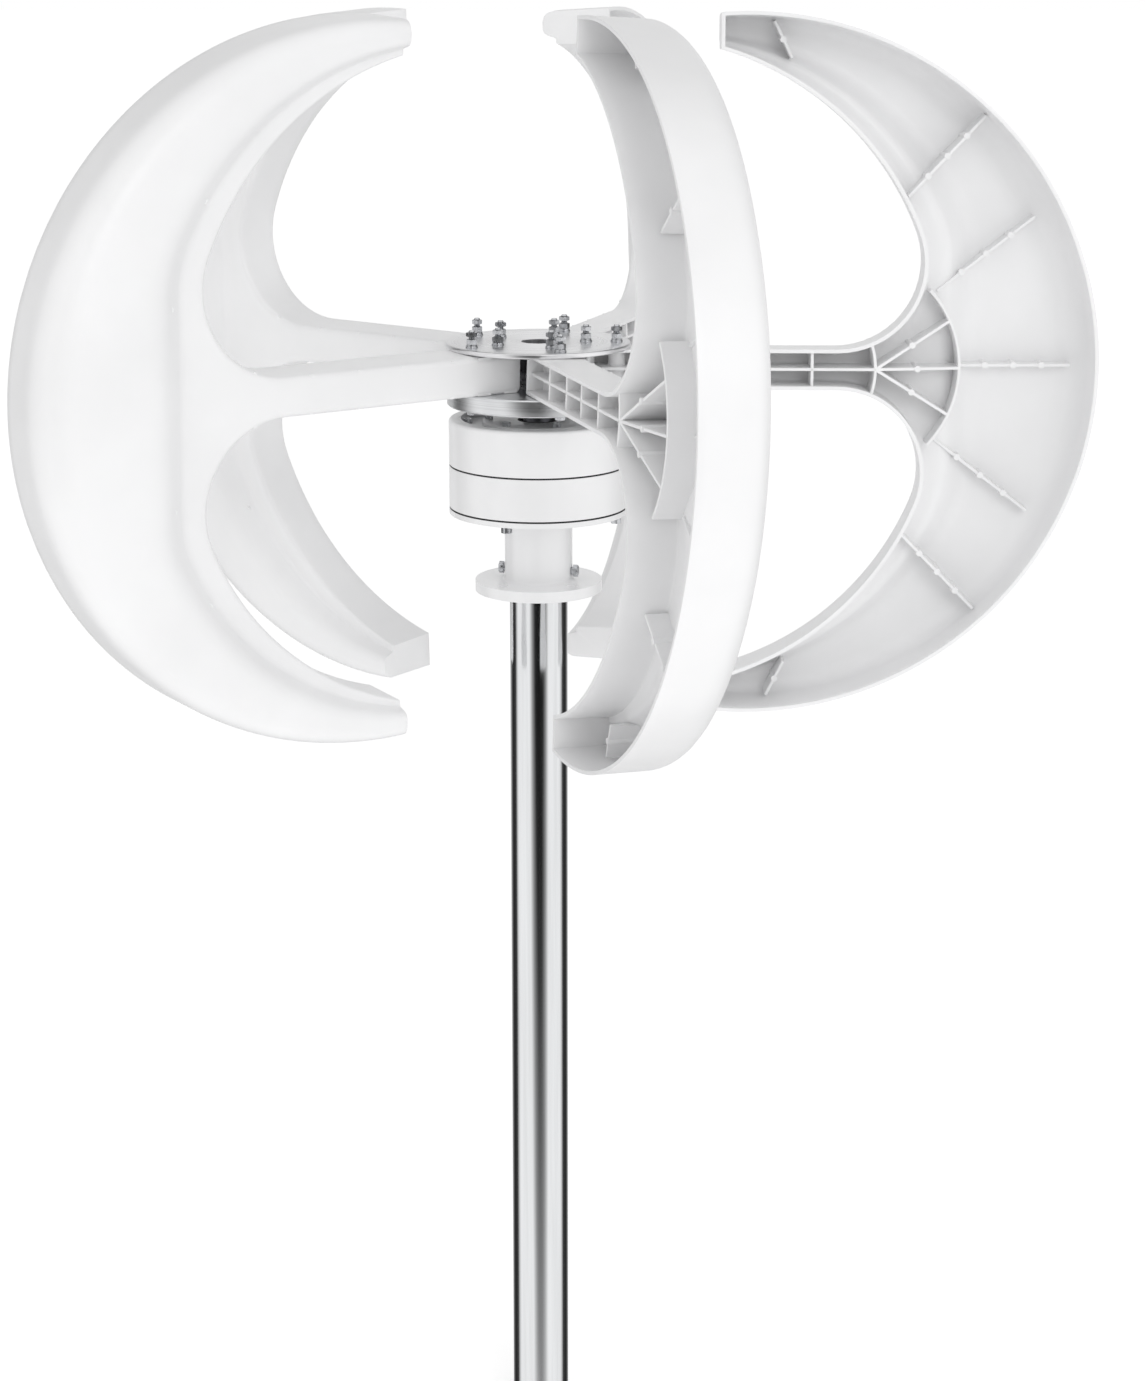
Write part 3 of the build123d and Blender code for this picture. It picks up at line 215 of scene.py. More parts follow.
class BladeShape:
    """Outline and depth of a blade, worked out from its sizes."""

    ARC_STEPS = 36
    COVE_STEPS = 15
    MIDDLE_STEPS = 23

    def __init__(self, sizes):
        self.s = sizes
        self.cove_radius = sizes.cove_y - ARM_HALF
        self.cove_centre = Vector((sizes.cove_x - self.cove_radius, sizes.cove_y))
        self.join = math.radians(22)
        normal = polar((0, 0), 1, self.join)
        joint = polar(self.cove_centre, self.cove_radius, self.join)
        to_tip = Vector((sizes.tip_x, sizes.tip_inner)) - joint
        self.arc_radius = -to_tip.length_squared / (2 * to_tip.dot(normal))
        self.arc_centre = joint - self.arc_radius * normal
        tip = Vector((sizes.tip_x, sizes.tip_inner)) - self.arc_centre
        self.tip_angle = math.atan2(tip.y, tip.x)

    def cove_stations(self):
        """Places along the arm's edge and the cove, each with the direction into the wall."""
        along = spread(self.s.root, self.cove_centre.x, 24)[:-1]
        arm = [(Vector((x, ARM_HALF)), Vector((0, -1))) for x in along]
        angles = spread(-math.pi / 2, 0, self.COVE_STEPS)
        return arm + [(polar(self.cove_centre, self.cove_radius, a), polar((0, 0), 1, a)) for a in angles]

    def arc_stations(self):
        """Places from the cove to the tip, with the direction across the blade and the share of the way."""
        places = []
        for a in spread(0, self.join, 5)[:-1]:
            places.append((polar(self.cove_centre, self.cove_radius, a), polar((0, 0), 1, a)))
        lean = math.pi / 2 - self.tip_angle
        for a in spread(self.join, self.tip_angle, self.ARC_STEPS):
            share = (a - self.join) / (self.tip_angle - self.join)
            across = polar((0, 0), 1, a + lean * share ** 2)
            places.append((polar(self.arc_centre, self.arc_radius, a), across))
        count = len(places) - 1
        return [(point, across, i / count) for i, (point, across) in enumerate(places)]

    def middle_stations(self):
        """Level sections between the two coves."""
        heights = spread(-self.s.cove_y, self.s.cove_y, self.MIDDLE_STEPS)
        return [(Vector((self.s.cove_x, y)), Vector((1, 0)), 0.0) for y in heights]

    def width(self, point, across):
        """Distance from a place on the inner edge to the outer circle."""
        from_centre = point - Vector((self.s.outer_centre, 0))
        along = from_centre.dot(across)
        return -along + math.sqrt(self.s.outer_radius ** 2 - from_centre.length_squared + along ** 2)

    def floor_start(self, share):
        """Distance from the inner edge at which the shelf is flat."""
        return mix(0.0115, 0.0042, share ** 2)

    def shelf_level(self, share):
        return mix(self.s.shelf_depth, 0.048, share ** 3)

    def wall_profile(self, share):
        """Inner wall: from the rim down to the flat of the shelf."""
        level, start = self.shelf_level(share), self.floor_start(share)
        radius = mix(0.0085, 0.0026, share)
        corners = [Vector((0, 0)), Vector((0.0004, level)), Vector((start, level))]
        points = rounded(corners, [radius], 7)
        straight = [mix(points[0], points[1], i / 4) for i in range(4)]
        return straight + points[1:]

    def bulge_profile(self, share, width):
        """From the shelf over the bulge and down the outer wall to the rim."""
        level, start = self.shelf_level(share), self.floor_start(share)
        shelf = mix(self.s.shelf, self.s.shelf_tip, share ** 1.5)
        run = mix(0.021, 0.0035, share)
        crest = mix(0.030, 0.006, share)
        back = mix(0.027, 0.0115, share)
        corners = [
            Vector((start, level)), Vector((shelf, level)), Vector((shelf + run, self.s.depth)),
            Vector((width - 0.0015, self.s.depth)), Vector((width, 0)),
        ]
        points = rounded(corners, [0.014, crest, back], 10)
        top = points[20]
        crown = [mix(top, points[21], i / 4) for i in range(1, 4)]
        side = [mix(points[-2], points[-1], i / 5) for i in range(1, 5)]
        return points[:21] + crown + points[21:-1] + side + points[-1:]

    def back_depth(self, point):
        """Depth of the skin's outside at a place in the blade's plane."""
        place = Vector((point[0], abs(point[1])))
        if place.y <= self.s.cove_y:
            across, start, share = Vector((1, 0)), Vector((self.s.cove_x, place.y)), 0.0
        else:
            near = min(self.arc_stations(), key=lambda st: abs((place - st[0]).cross(st[1])))
            start, across, share = near
        offset = (place - start).dot(across)
        if offset < self.floor_start(share):
            return self.shelf_level(share)
        profile = self.bulge_profile(share, self.width(start, across))
        for one, two in zip(profile, profile[1:]):
            if one.x <= offset <= two.x and two.x > one.x:
                return mix(one.y, two.y, (offset - one.x) / (two.x - one.x))
        return 0.0


# ---------------------------------------------------------------- mesh helpers
def in_space(point, across, offset, depth, side=1):
    """Point of the blade's plane as a place in the frame, before the blade is tilted."""
    place = point + across * offset
    return Vector((place.x, depth, side * place.y))


def chain(bm, points, closed=False):
    """Vertices joined by edges."""
    verts = [bm.verts.new(p) for p in points]
    pairs = list(zip(verts, verts[1:])) + ([(verts[-1], verts[0])] if closed else [])
    return [bm.edges.new(pair) for pair in pairs]


def loft(bm, sections, closed=False):
    """Skin bridged through sections with the same number of points."""
    rows = [chain(bm, points, closed) for points in sections]
    for one, two in zip(rows, rows[1:]):
        bmesh.ops.bridge_loops(bm, edges=one + two)
    return rows


def new_object(name, bm, smooth_angle=35.0):
    """Object from a bmesh, smooth shaded except across sharp edges."""
    mesh = bpy.data.meshes.new(name)
    bm.to_mesh(mesh)
    bm.free()
    mesh.polygons.foreach_set("use_smooth", [True] * len(mesh.polygons))
    mesh.set_sharp_from_angle(angle=math.radians(smooth_angle))
    obj = bpy.data.objects.new(name, mesh)
    bpy.context.scene.collection.objects.link(obj)
    return obj


def finished(obj):
    """Applies an object's modifiers to its mesh."""
    graph = bpy.context.evaluated_depsgraph_get()
    mesh = bpy.data.meshes.new_from_object(obj.evaluated_get(graph))
    obj.modifiers.clear()
    obj.data = mesh
    return obj


def place_piece(obj, material, body, slot, *nodes):
    """Finish and motion of a new piece, with the nodes it replaces hidden."""
    obj.data.materials.clear()
    obj.data.materials.append(material)
    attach(obj, body)
    if nodes:
        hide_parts(*nodes)
    return obj


def spun(bm, outline, segments=96, centre=(0, 0)):
    """Solid of revolution from a closed outline of (radius, height) about a vertical axis."""
    edges = chain(bm, [Vector((centre[0] + r, centre[1], z)) for r, z in outline], closed=True)
    verts = list({v for e in edges for v in e.verts})
    bmesh.ops.spin(
        bm, geom=verts + edges, cent=(centre[0], centre[1], 0), axis=(0, 0, 1), steps=segments,
        angle=math.tau, use_merge=True,
    )
    bmesh.ops.remove_doubles(bm, verts=bm.verts, dist=1e-6)
    bmesh.ops.recalc_face_normals(bm, faces=bm.faces)


def bevel_sharp(bm, width, segments=2, angle=40.0):
    """Bevel every edge that turns by more than an angle."""
    edges = [e for e in bm.edges if len(e.link_faces) == 2 and e.calc_face_angle() > math.radians(angle)]
    bmesh.ops.bevel(
        bm, geom=edges, offset=width, segments=segments, profile=0.5, affect="EDGES", material=-1,
        clamp_overlap=True,
    )


# ---------------------------------------------------------------- materials
def node_material(name, base, roughness, metallic=0.0):
    """Material with its shader, ready for a pattern."""
    material = bpy.data.materials.new(name)
    material.use_nodes = True
    nodes = material.node_tree.nodes
    shader = nodes["Principled BSDF"]
    shader.inputs["Base Color"].default_value = (*base, 1)
    shader.inputs["Roughness"].default_value = roughness
    shader.inputs["Metallic"].default_value = metallic
    return material, nodes, material.node_tree.links, shader


def coordinates(nodes, links, scale=(1, 1, 1)):
    """Object coordinates, stretched."""
    source = nodes.new("ShaderNodeTexCoord")
    mapping = nodes.new("ShaderNodeMapping")
    mapping.inputs["Scale"].default_value = scale
    links.new(source.outputs["Object"], mapping.inputs["Vector"])
    return mapping.outputs["Vector"]


def noise(nodes, links, vector, scale, detail=3.0):
    texture = nodes.new("ShaderNodeTexNoise")
    texture.inputs["Scale"].default_value = scale
    texture.inputs["Detail"].default_value = detail
    links.new(vector, texture.inputs["Vector"])
    return texture.outputs["Fac"]


def vary_colour(nodes, links, shader, factor, dark, light, low=0.35, high=0.65):
    """Base colour that drifts between two near tones."""
    ramp = nodes.new("ShaderNodeValToRGB")
    ramp.color_ramp.elements[0].position = low
    ramp.color_ramp.elements[1].position = high
    ramp.color_ramp.elements[0].color = (*dark, 1)
    ramp.color_ramp.elements[1].color = (*light, 1)
    links.new(factor, ramp.inputs["Fac"])
    links.new(ramp.outputs["Color"], shader.inputs["Base Color"])


def vary_roughness(nodes, links, shader, factor, low, high):
    span = nodes.new("ShaderNodeMapRange")
    span.inputs["To Min"].default_value = low
    span.inputs["To Max"].default_value = high
    links.new(factor, span.inputs["Value"])
    links.new(span.outputs["Result"], shader.inputs["Roughness"])


def add_bump(nodes, links, shader, height, strength, distance):
    bump = nodes.new("ShaderNodeBump")
    bump.inputs["Strength"].default_value = strength
    bump.inputs["Distance"].default_value = distance
    links.new(height, bump.inputs["Height"])
    links.new(bump.outputs["Normal"], shader.inputs["Normal"])


def shade(base, factor):
    """The colour made lighter or darker."""
    return tuple(min(1.0, c * factor) for c in base)


def nylon_material(base):
    """Moulded white nylon: satin, faintly cloudy, with a fine mould grain."""
    material, nodes, links, shader = node_material("white_nylon", base, 0.38)
    shader.inputs["Specular IOR Level"].default_value = 0.5
    place = coordinates(nodes, links)
    clouds = noise(nodes, links, place, 9.0, 4.0)
    vary_colour(nodes, links, shader, clouds, shade(base, 0.975), shade(base, 1.02))
    vary_roughness(nodes, links, shader, noise(nodes, links, place, 60.0), 0.30, 0.44)
    add_bump(nodes, links, shader, noise(nodes, links, place, 900.0), 0.06, 0.0002)
    return material


def enamel_material(base):
    """Sprayed white enamel with a slight orange peel."""
    material, nodes, links, shader = node_material("white_enamel", base, 0.3)
    shader.inputs["Coat Weight"].default_value = 0.25
    shader.inputs["Coat Roughness"].default_value = 0.12
    place = coordinates(nodes, links)
    vary_colour(nodes, links, shader, noise(nodes, links, place, 14.0), shade(base, 0.975), shade(base, 1.01))
    vary_roughness(nodes, links, shader, noise(nodes, links, place, 90.0), 0.24, 0.38)
    add_bump(nodes, links, shader, noise(nodes, links, place, 420.0, 2.0), 0.10, 0.0002)
    return material


def polished_tube_material(base):
    """Polished tube with faint draw lines along its length."""
    material, nodes, links, shader = node_material("polished_steel", base, 0.1, 1.0)
    along = coordinates(nodes, links, (1, 1, 0.02))
    lines = noise(nodes, links, along, 240.0, 4.0)
    vary_colour(nodes, links, shader, lines, shade(base, 0.94), shade(base, 1.03))
    vary_roughness(nodes, links, shader, noise(nodes, links, along, 500.0), 0.07, 0.16)
    add_bump(nodes, links, shader, noise(nodes, links, along, 900.0), 0.03, 0.0001)
    return material


def turned_material(name, base, low, high, pitch):
    """Metal turned on a lathe: fine circular tool marks on faces and rims."""
    material, nodes, links, shader = node_material(name, base, low, 1.0)
    source = nodes.new("ShaderNodeTexCoord")
    split = nodes.new("ShaderNodeSeparateXYZ")
    flat = nodes.new("ShaderNodeCombineXYZ")
    radius = nodes.new("ShaderNodeVectorMath")
    radius.operation = "LENGTH"
    rings = nodes.new("ShaderNodeCombineXYZ")
    links.new(source.outputs["Object"], split.inputs["Vector"])
    links.new(split.outputs["X"], flat.inputs["X"])
    links.new(split.outputs["Y"], flat.inputs["Y"])
    links.new(flat.outputs["Vector"], radius.inputs[0])
    links.new(radius.outputs["Value"], rings.inputs["X"])
    links.new(split.outputs["Z"], rings.inputs["Y"])
    marks = noise(nodes, links, rings.outputs["Vector"], pitch, 4.0)
    vary_colour(nodes, links, shader, marks, shade(base, 0.9), shade(base, 1.05))
    vary_roughness(nodes, links, shader, marks, low, high)
    add_bump(nodes, links, shader, marks, 0.12, 0.0002)
    shader.inputs["Anisotropic"].default_value = 0.4
    return material


def steel_material(name, base, low, high, grain):
    """Plain or plated steel with a fine irregular grain."""
    material, nodes, links, shader = node_material(name, base, low, 1.0)
    place = coordinates(nodes, links)
    mottle = noise(nodes, links, place, grain, 4.0)
    vary_colour(nodes, links, shader, mottle, shade(base, 0.82), shade(base, 1.12))
    vary_roughness(nodes, links, shader, noise(nodes, links, place, grain * 2), low, high)
    add_bump(nodes, links, shader, noise(nodes, links, place, grain * 4), 0.08, 0.0001)
    return material


def rubber_material(base):
    material, nodes, links, shader = node_material("dark_rubber", base, 0.7)
    place = coordinates(nodes, links)
    vary_colour(nodes, links, shader, noise(nodes, links, place, 200.0), shade(base, 0.8), shade(base, 1.6))
    vary_roughness(nodes, links, shader, noise(nodes, links, place, 400.0), 0.6, 0.85)
    add_bump(nodes, links, shader, noise(nodes, links, place, 1200.0), 0.2, 0.0001)
    return material


def laminated_material(base):
    """Stacked iron sheets: fine level lines."""
    material, nodes, links, shader = node_material("laminated_iron", base, 0.5, 1.0)
    level = coordinates(nodes, links, (0.05, 0.05, 1))
    lines = noise(nodes, links, level, 1600.0, 1.0)
    vary_colour(nodes, links, shader, lines, shade(base, 0.6), shade(base, 1.3))
    add_bump(nodes, links, shader, lines, 0.4, 0.0002)
    return material


def copper_material(base):
    """Enamelled copper wire: fine turns."""
    material, nodes, links, shader = node_material("copper_winding", base, 0.35, 1.0)
    level = coordinates(nodes, links, (1, 1, 1))
    wave = nodes.new("ShaderNodeTexWave")
    wave.inputs["Scale"].default_value = 260.0
    wave.inputs["Distortion"].default_value = 1.5
    links.new(level, wave.inputs["Vector"])
    vary_colour(nodes, links, shader, wave.outputs["Fac"], shade(base, 0.6), shade(base, 1.15))
    add_bump(nodes, links, shader, wave.outputs["Fac"], 0.5, 0.0003)
    return material


_made = {}


def finish_of(slot):
    """The material of a slot, made once."""
    if slot not in _made:
        c = bpy.context.scene.turbine_colours
        makers = {
            "white_nylon": lambda: nylon_material(tuple(c.nylon)),
            "white_enamel": lambda: enamel_material(tuple(c.enamel)),
            "polished_steel": lambda: polished_tube_material(tuple(c.steel)),
            "turned_aluminium": lambda: turned_material(
                "turned_aluminium", tuple(c.aluminium), 0.24, 0.38, 1400.0
            ),
            "plated_plate": lambda: turned_material("plated_plate", tuple(c.plate), 0.22, 0.36, 500.0),
            "zinc_fasteners": lambda: steel_material("zinc_fasteners", tuple(c.zinc), 0.2, 0.38, 260.0),
            "dark_steel": lambda: steel_material("dark_steel", tuple(c.dark_steel), 0.25, 0.45, 220.0),
            "bearing_steel": lambda: steel_material("bearing_steel", tuple(c.steel), 0.08, 0.16, 150.0),
            "nickel_magnet": lambda: steel_material("nickel_magnet", tuple(c.steel), 0.15, 0.3, 90.0),
            "cage_brass": lambda: steel_material("cage_brass", tuple(c.brass), 0.25, 0.4, 180.0),
            "dark_rubber": lambda: rubber_material(tuple(c.rubber)),
            "laminated_iron": lambda: laminated_material(tuple(c.iron)),
            "copper_winding": lambda: copper_material(tuple(c.copper)),
        }
        _made[slot] = makers[slot]()
    return _made[slot]


# ---------------------------------------------------------------- blade
def blade_skin(shape):
    """Outside of the blade as an open skin: walls, arm floor, shelf and bulge."""
    bm = bmesh.new()
    arcs = shape.arc_stations()
    coves = shape.cove_stations()
    for side in (1, -1):
        wall = [
            [in_space(point, across, p.x, p.y, side) for p in shape.wall_profile(0.0)]
            for point, across in coves
        ]
        wall += [
            [in_space(point, across, p.x, p.y, side) for p in shape.wall_profile(share)]
            for point, across, share in arcs[1:]
        ]
        loft(bm, wall)

    def bulge(station, side=1):
        point, across, share = station
        profile = shape.bulge_profile(share, shape.width(point, across))
        return [in_space(point, across, p.x, p.y, side) for p in profile]

    low = [bulge(st, -1) for st in reversed(arcs[1:])]
    middle = [bulge(st) for st in shape.middle_stations()]
    high = [bulge(st) for st in arcs[1:]]
    loft(bm, low + middle + high)
    bmesh.ops.remove_doubles(bm, verts=bm.verts, dist=1e-5)
    close_floor(bm, shape)
    close_tips(bm, shape)
    cut_root(bm, shape)
    bmesh.ops.recalc_face_normals(bm, faces=bm.faces)
    floor = max(bm.faces, key=lambda f: f.calc_area())
    if floor.normal.y < 0:
        bmesh.ops.reverse_faces(bm, faces=bm.faces)
    return bm


def close_floor(bm, shape):
    """Flat floor of the arm and the fan between the coves."""
    level = shape.s.shelf_depth
    flat = [v for v in bm.verts if abs(v.co.y - level) < 1e-6]
    root = sorted((v for v in flat if abs(v.co.x - shape.s.root) < 1e-6), key=lambda v: v.co.z)
    bm.edges.new((root[0], root[-1]))
    on_level = {e for e in bm.edges if all(abs(v.co.y - level) < 1e-6 for v in e.verts)}
    border = [e for e in bm.edges if e.is_wire or (e.is_boundary and e in on_level)]
    inner = [e for e in border if max(v.co.x for v in e.verts) < shape.s.cove_x + shape.s.shelf]
    bmesh.ops.edgeloop_fill(bm, edges=inner)


def close_tips(bm, shape):
    """Flat end walls that face the axis."""
    for side in (1, -1):
        ends = [e for e in bm.edges if e.is_boundary]
        ends = [e for e in ends if all(abs(v.co.x - shape.s.tip_x) < 1e-4 for v in e.verts)]
        ends = [e for e in ends if side * e.verts[0].co.z > 0]
        close_open_chain(bm, ends)


def close_open_chain(bm, edges):
    """Joins a chain's two ends and fills the loop."""
    verts = {v for e in edges for v in e.verts}
    chosen = set(edges)
    ends = [v for v in verts if sum(e in chosen for e in v.link_edges) == 1]
    bmesh.ops.edgeloop_fill(bm, edges=list(edges) + [bm.edges.new(ends)])


def cut_root(bm, shape):
    """Slanted inner end of the arm."""
    s = shape.s
    start, end = Vector((s.root + s.mitre, 0, 0)), Vector((s.root + 1e-4, s.shelf_depth, 0))
    along = end - start
    normal = Vector((-along.y, along.x, 0))
    cut = bmesh.ops.bisect_plane(
        bm, geom=bm.verts[:] + bm.edges[:] + bm.faces[:], plane_co=start, plane_no=normal, clear_outer=True
    )
    close_open_chain(bm, [g for g in cut["geom_cut"] if isinstance(g, bmesh.types.BMEdge)])


def rib_plate(bm, shape, start, end, recess_start, recess_end, steps=10):
    """Upright rib along a line, from under the rim down into the skin, with an eased top."""
    start, end = Vector(start), Vector(end)
    across = (end - start).orthogonal().normalized()
    half, ease = shape.s.rib / 2, 0.0005
    sections = []
    for share in spread(0, 1, steps):
        spot = mix(start, end, share)
        top = mix(recess_start, recess_end, share)
        foot = max(shape.back_depth(spot) - shape.s.wall / 2, top + 0.001)
        profile = [(-half * 1.25, foot), (-half, top + ease), (-half + ease, top), (half - ease, top),
                   (half, top + ease), (half * 1.25, foot)]
        sections.append([in_space(spot, across, offset, depth) for offset, depth in profile])
    rows = loft(bm, sections, closed=True)
    for row in (rows[0], rows[-1]):
        bmesh.ops.edgeloop_fill(bm, edges=row)


def arc_rib(bm, shape, centre_x, radius, half_angle, recess, steps=25):
    """Curved rib about a centre on the arm's line."""
    half, ease = shape.s.rib / 2, 0.0005
    sections = []
    for angle in spread(-half_angle, half_angle, steps):
        out = polar((0, 0), 1, angle)
        spot = polar((centre_x, 0), radius, angle)
        foot = shape.back_depth(spot) - shape.s.wall / 2
        profile = [(-half * 1.25, foot), (-half, recess + ease), (-half + ease, recess),
                   (half - ease, recess), (half, recess + ease), (half * 1.25, foot)]
        sections.append([in_space(spot, out, offset, depth) for offset, depth in profile])
    rows = loft(bm, sections, closed=True)
    for row in (rows[0], rows[-1]):
        bmesh.ops.edgeloop_fill(bm, edges=row)


def peg(bm, shape, spot, recess):
    """Round boss on a rib, slightly tapered."""
    foot = shape.back_depth(spot) - shape.s.wall / 2
    made = bmesh.ops.create_cone(
        bm, cap_ends=True, segments=20, radius1=shape.s.peg * 1.12, radius2=shape.s.peg, depth=foot - recess
    )
    turn = Matrix.Rotation(math.pi / 2, 4, "X")
    place = Matrix.Translation((spot[0], (foot + recess) / 2, spot[1]))
    bmesh.ops.transform(bm, matrix=place @ turn, verts=made["verts"])


def rib_with_pegs(bm, shape, start, end, recess_start, recess_end, count):
    rib_plate(bm, shape, start, end, recess_start, recess_end)
    for i in range(count):
        share = (i + 1) / (count + 1)
        spot = mix(Vector(start), Vector(end), share)
        peg(bm, shape, spot, mix(recess_start, recess_end, share) - 0.0008)


def blade_ribs(shape):
    """Ribs and bosses inside the arm, the fan and the bulge."""
    bm = bmesh.new()
    s = shape.s
    top = ARM_RIB_TOP
    rib_plate(bm, shape, (s.root + s.mitre, 0), (FAN_HUB, 0), top, top, 4)
    for x in ARM_RIB_PLACES:
        rib_plate(bm, shape, (x, -ARM_HALF + 0.001), (x, ARM_HALF - 0.001), top, top, 3)
    arc_rib(bm, shape, HUB_ARC_CENTRE, FAN_HUB - HUB_ARC_CENTRE, HUB_ARC_HALF, top)
    arc_rib(bm, shape, FAN_ARC_CENTRE, FAN_ARC_RADIUS, FAN_ARC_HALF, FAN_TOP)
    for end in FAN_ENDS:
        rib_with_pegs(bm, shape, (FAN_HUB, 0), end, top, FAN_TOP, 1)
    rib_with_pegs(bm, shape, *MIDDLE_RIB_ENDS, *MIDDLE_RIB_TOPS, MIDDLE_RIB_PEGS)
    for side in (1, -1):
        for start, end, near, far, count in CRESCENT_RIBS:
            start, end = (start[0], side * start[1]), (end[0], side * end[1])
            rib_with_pegs(bm, shape, start, end, near, far, count)
    hub = bpy.context.scene.hub_sizes
    for radius in (hub.inner_bolt, hub.outer_bolt):
        post = bmesh.ops.create_cone(
            bm, cap_ends=True, segments=32, radius1=BOLT_POST_RADIUS, radius2=BOLT_POST_RADIUS,
            depth=2 * ARM_HALF,
        )
        place = Matrix.Translation((radius, s.rim_offset, 0))
        bmesh.ops.transform(bm, matrix=place, verts=post["verts"])
        web = bmesh.ops.create_cube(bm, size=1.0)
        depth = s.shelf_depth - s.rim_offset - BOLT_WEB_SINK
        size = Matrix.Diagonal((BOLT_WEB_WIDTH, depth, 2 * ARM_HALF - 0.002, 1))
        middle = Matrix.Translation((radius, (s.shelf_depth + s.rim_offset) / 2, 0))
        bmesh.ops.transform(bm, matrix=middle @ size, verts=web["verts"])
    bmesh.ops.recalc_face_normals(bm, faces=bm.faces)
    return bm


def blade_mesh(sizes):
    """One whole blade at its place on the first arm."""
    shape = BladeShape(sizes)
    skin = new_object("blade_skin", blade_skin(shape))
    shell = skin.modifiers.new("wall", "SOLIDIFY")
    shell.thickness = sizes.wall
    shell.offset = -1
    shell.use_even_offset = True
    edge = skin.modifiers.new("edge", "BEVEL")
    edge.width = 0.0006
    edge.segments = 2
    edge.limit_method = "ANGLE"
    edge.angle_limit = math.radians(50)
    finished(skin)
    bm = bmesh.new()
    bm.from_mesh(skin.data)
    ribs = blade_ribs(shape)
    spare = bpy.data.meshes.new("ribs")
    ribs.to_mesh(spare)
    ribs.free()
    bm.from_mesh(spare)
    bpy.data.objects.remove(skin)
    bpy.data.meshes.remove(spare)
    move = Matrix.Translation((0, -sizes.rim_offset, 0))
    tilt = Matrix.Rotation(-sizes.tilt, 4, "X")
    lift = Matrix.Translation((0, 0, HUB_HEIGHT))
    bmesh.ops.transform(bm, matrix=lift @ tilt @ move, verts=bm.verts)
    for v in bm.verts:
        if v.co.x < PLATE_HIGH.x + 0.002:
            v.co.z = min(max(v.co.z, DISC_HIGH.z), PLATE_LOW.z)
    return bm


class TURBINE_OT_blades(bpy.types.Operator):
    """Hollow nylon blades with their ribs, one for each arm"""

    bl_idname = "turbine.blades"
    bl_label = "Blades"

    def execute(self, context):
        first = blade_mesh(context.scene.blade_sizes)
        for i in range(BLADE_COUNT):
            bm = first.copy()
            turn = Matrix.Rotation(i * BLADE_ANGLE, 3, "Z")
            bmesh.ops.rotate(bm, verts=bm.verts, cent=(0, 0, 0), matrix=turn)
            blade = new_object(f"nylon_blade_{i + 1}", bm)
            place_piece(blade, finish_of("white_nylon"), "rotor", "white_nylon", f"blade_{i + 1}")
        first.free()
        return {"FINISHED"}


# ---------------------------------------------------------------- hub and generator
def refined(node, name, width, slot, segments=2):
    """Piece from a node's own shape, with its vertices merged and its edges eased."""
    source = frame["nodes"][node]
    bm = bmesh.new()
    bm.from_mesh(source.data)
    bmesh.ops.remove_doubles(bm, verts=bm.verts, dist=2e-6)
    bmesh.ops.dissolve_limit(bm, angle_limit=math.radians(0.6), verts=bm.verts, edges=bm.edges)
    if width:
        bevel_sharp(bm, width, segments, 35.0)
    bmesh.ops.recalc_face_normals(bm, faces=bm.faces)
    piece = new_object(name, bm, 25.0)
    return place_piece(piece, finish_of(slot), body_of(node), slot, node)


def body_of(node):
    """The body that a node moves with."""
    bodies = frame["record"]["behaviour"]["bodies"]
    return next(body for body, nodes in bodies.items() if node in nodes)


def slot_of(node):
    return next(row["material_slot"] for row in frame["record"]["subparts"] if row["node"] == node)


def hub_bolt_places(sizes):
    """Where every hub bolt stands, two on each arm."""
    radii = (sizes.inner_bolt, sizes.outer_bolt)
    return [polar((0, 0), r, i * BLADE_ANGLE) for i in range(BLADE_COUNT) for r in radii]


def turned_copies(bm, maker, places):
    """One copy of a small part at each place."""
    for number, place in enumerate(places):
        verts = maker(bm, number)
        bmesh.ops.translate(bm, verts=verts, vec=(place.x, place.y, 0))


def ringed(bm, sections):
    """Closed ring of level rows, the last joined to the first."""
    rows = loft(bm, sections, closed=True)
    bmesh.ops.bridge_loops(bm, edges=rows[-1] + rows[0])
    return [v for row in rows for v in {v for e in row for v in e.verts}]


def circle_row(radius, z, count=48, turn=0.0):
    return [Vector((*polar((0, 0), radius, turn + math.tau * i / count), z)) for i in range(count)]


def hex_row(across, flat_radius, z, away, turn, count=48):
    """Row of a hexagon's side where its corners meet the turned chamfer."""
    row = []
    for i in range(count):
        angle = math.tau * i / count
        corner = (angle + math.pi / 6) % (math.pi / 3) - math.pi / 6
        radius = across / 2 / math.cos(math.pi / 6 - abs(corner))
        drop = (radius - flat_radius) * math.tan(math.pi / 6)
        row.append(Vector((*polar((0, 0), radius, turn + angle), z + away * drop)))
    return row


def hex_nut(bm, across, hole, low, high, turn):
    """Hexagon nut with its corners chamfered and its hole countersunk."""
    flat = 0.475 * across
    sink = 0.0004
    return ringed(bm, [
        circle_row(hole, low + sink, turn=turn), circle_row(hole + sink, low, turn=turn),
        circle_row(flat, low, turn=turn), hex_row(across, flat, low, 1, turn),
        hex_row(across, flat, high, -1, turn), circle_row(flat, high, turn=turn),
        circle_row(hole + sink, high, turn=turn), circle_row(hole, high - sink, turn=turn),
    ])


def washer(bm, outer, inner, low, high):
    """Flat washer with its edges broken."""
    edge = min(0.0002, (high - low) / 4)
    return ringed(bm, [
        circle_row(inner, low + edge), circle_row(inner + edge, low), circle_row(outer - edge, low),
        circle_row(outer, low + edge), circle_row(outer, high - edge), circle_row(outer - edge, high),
        circle_row(inner + edge, high), circle_row(inner, high - edge),
    ])


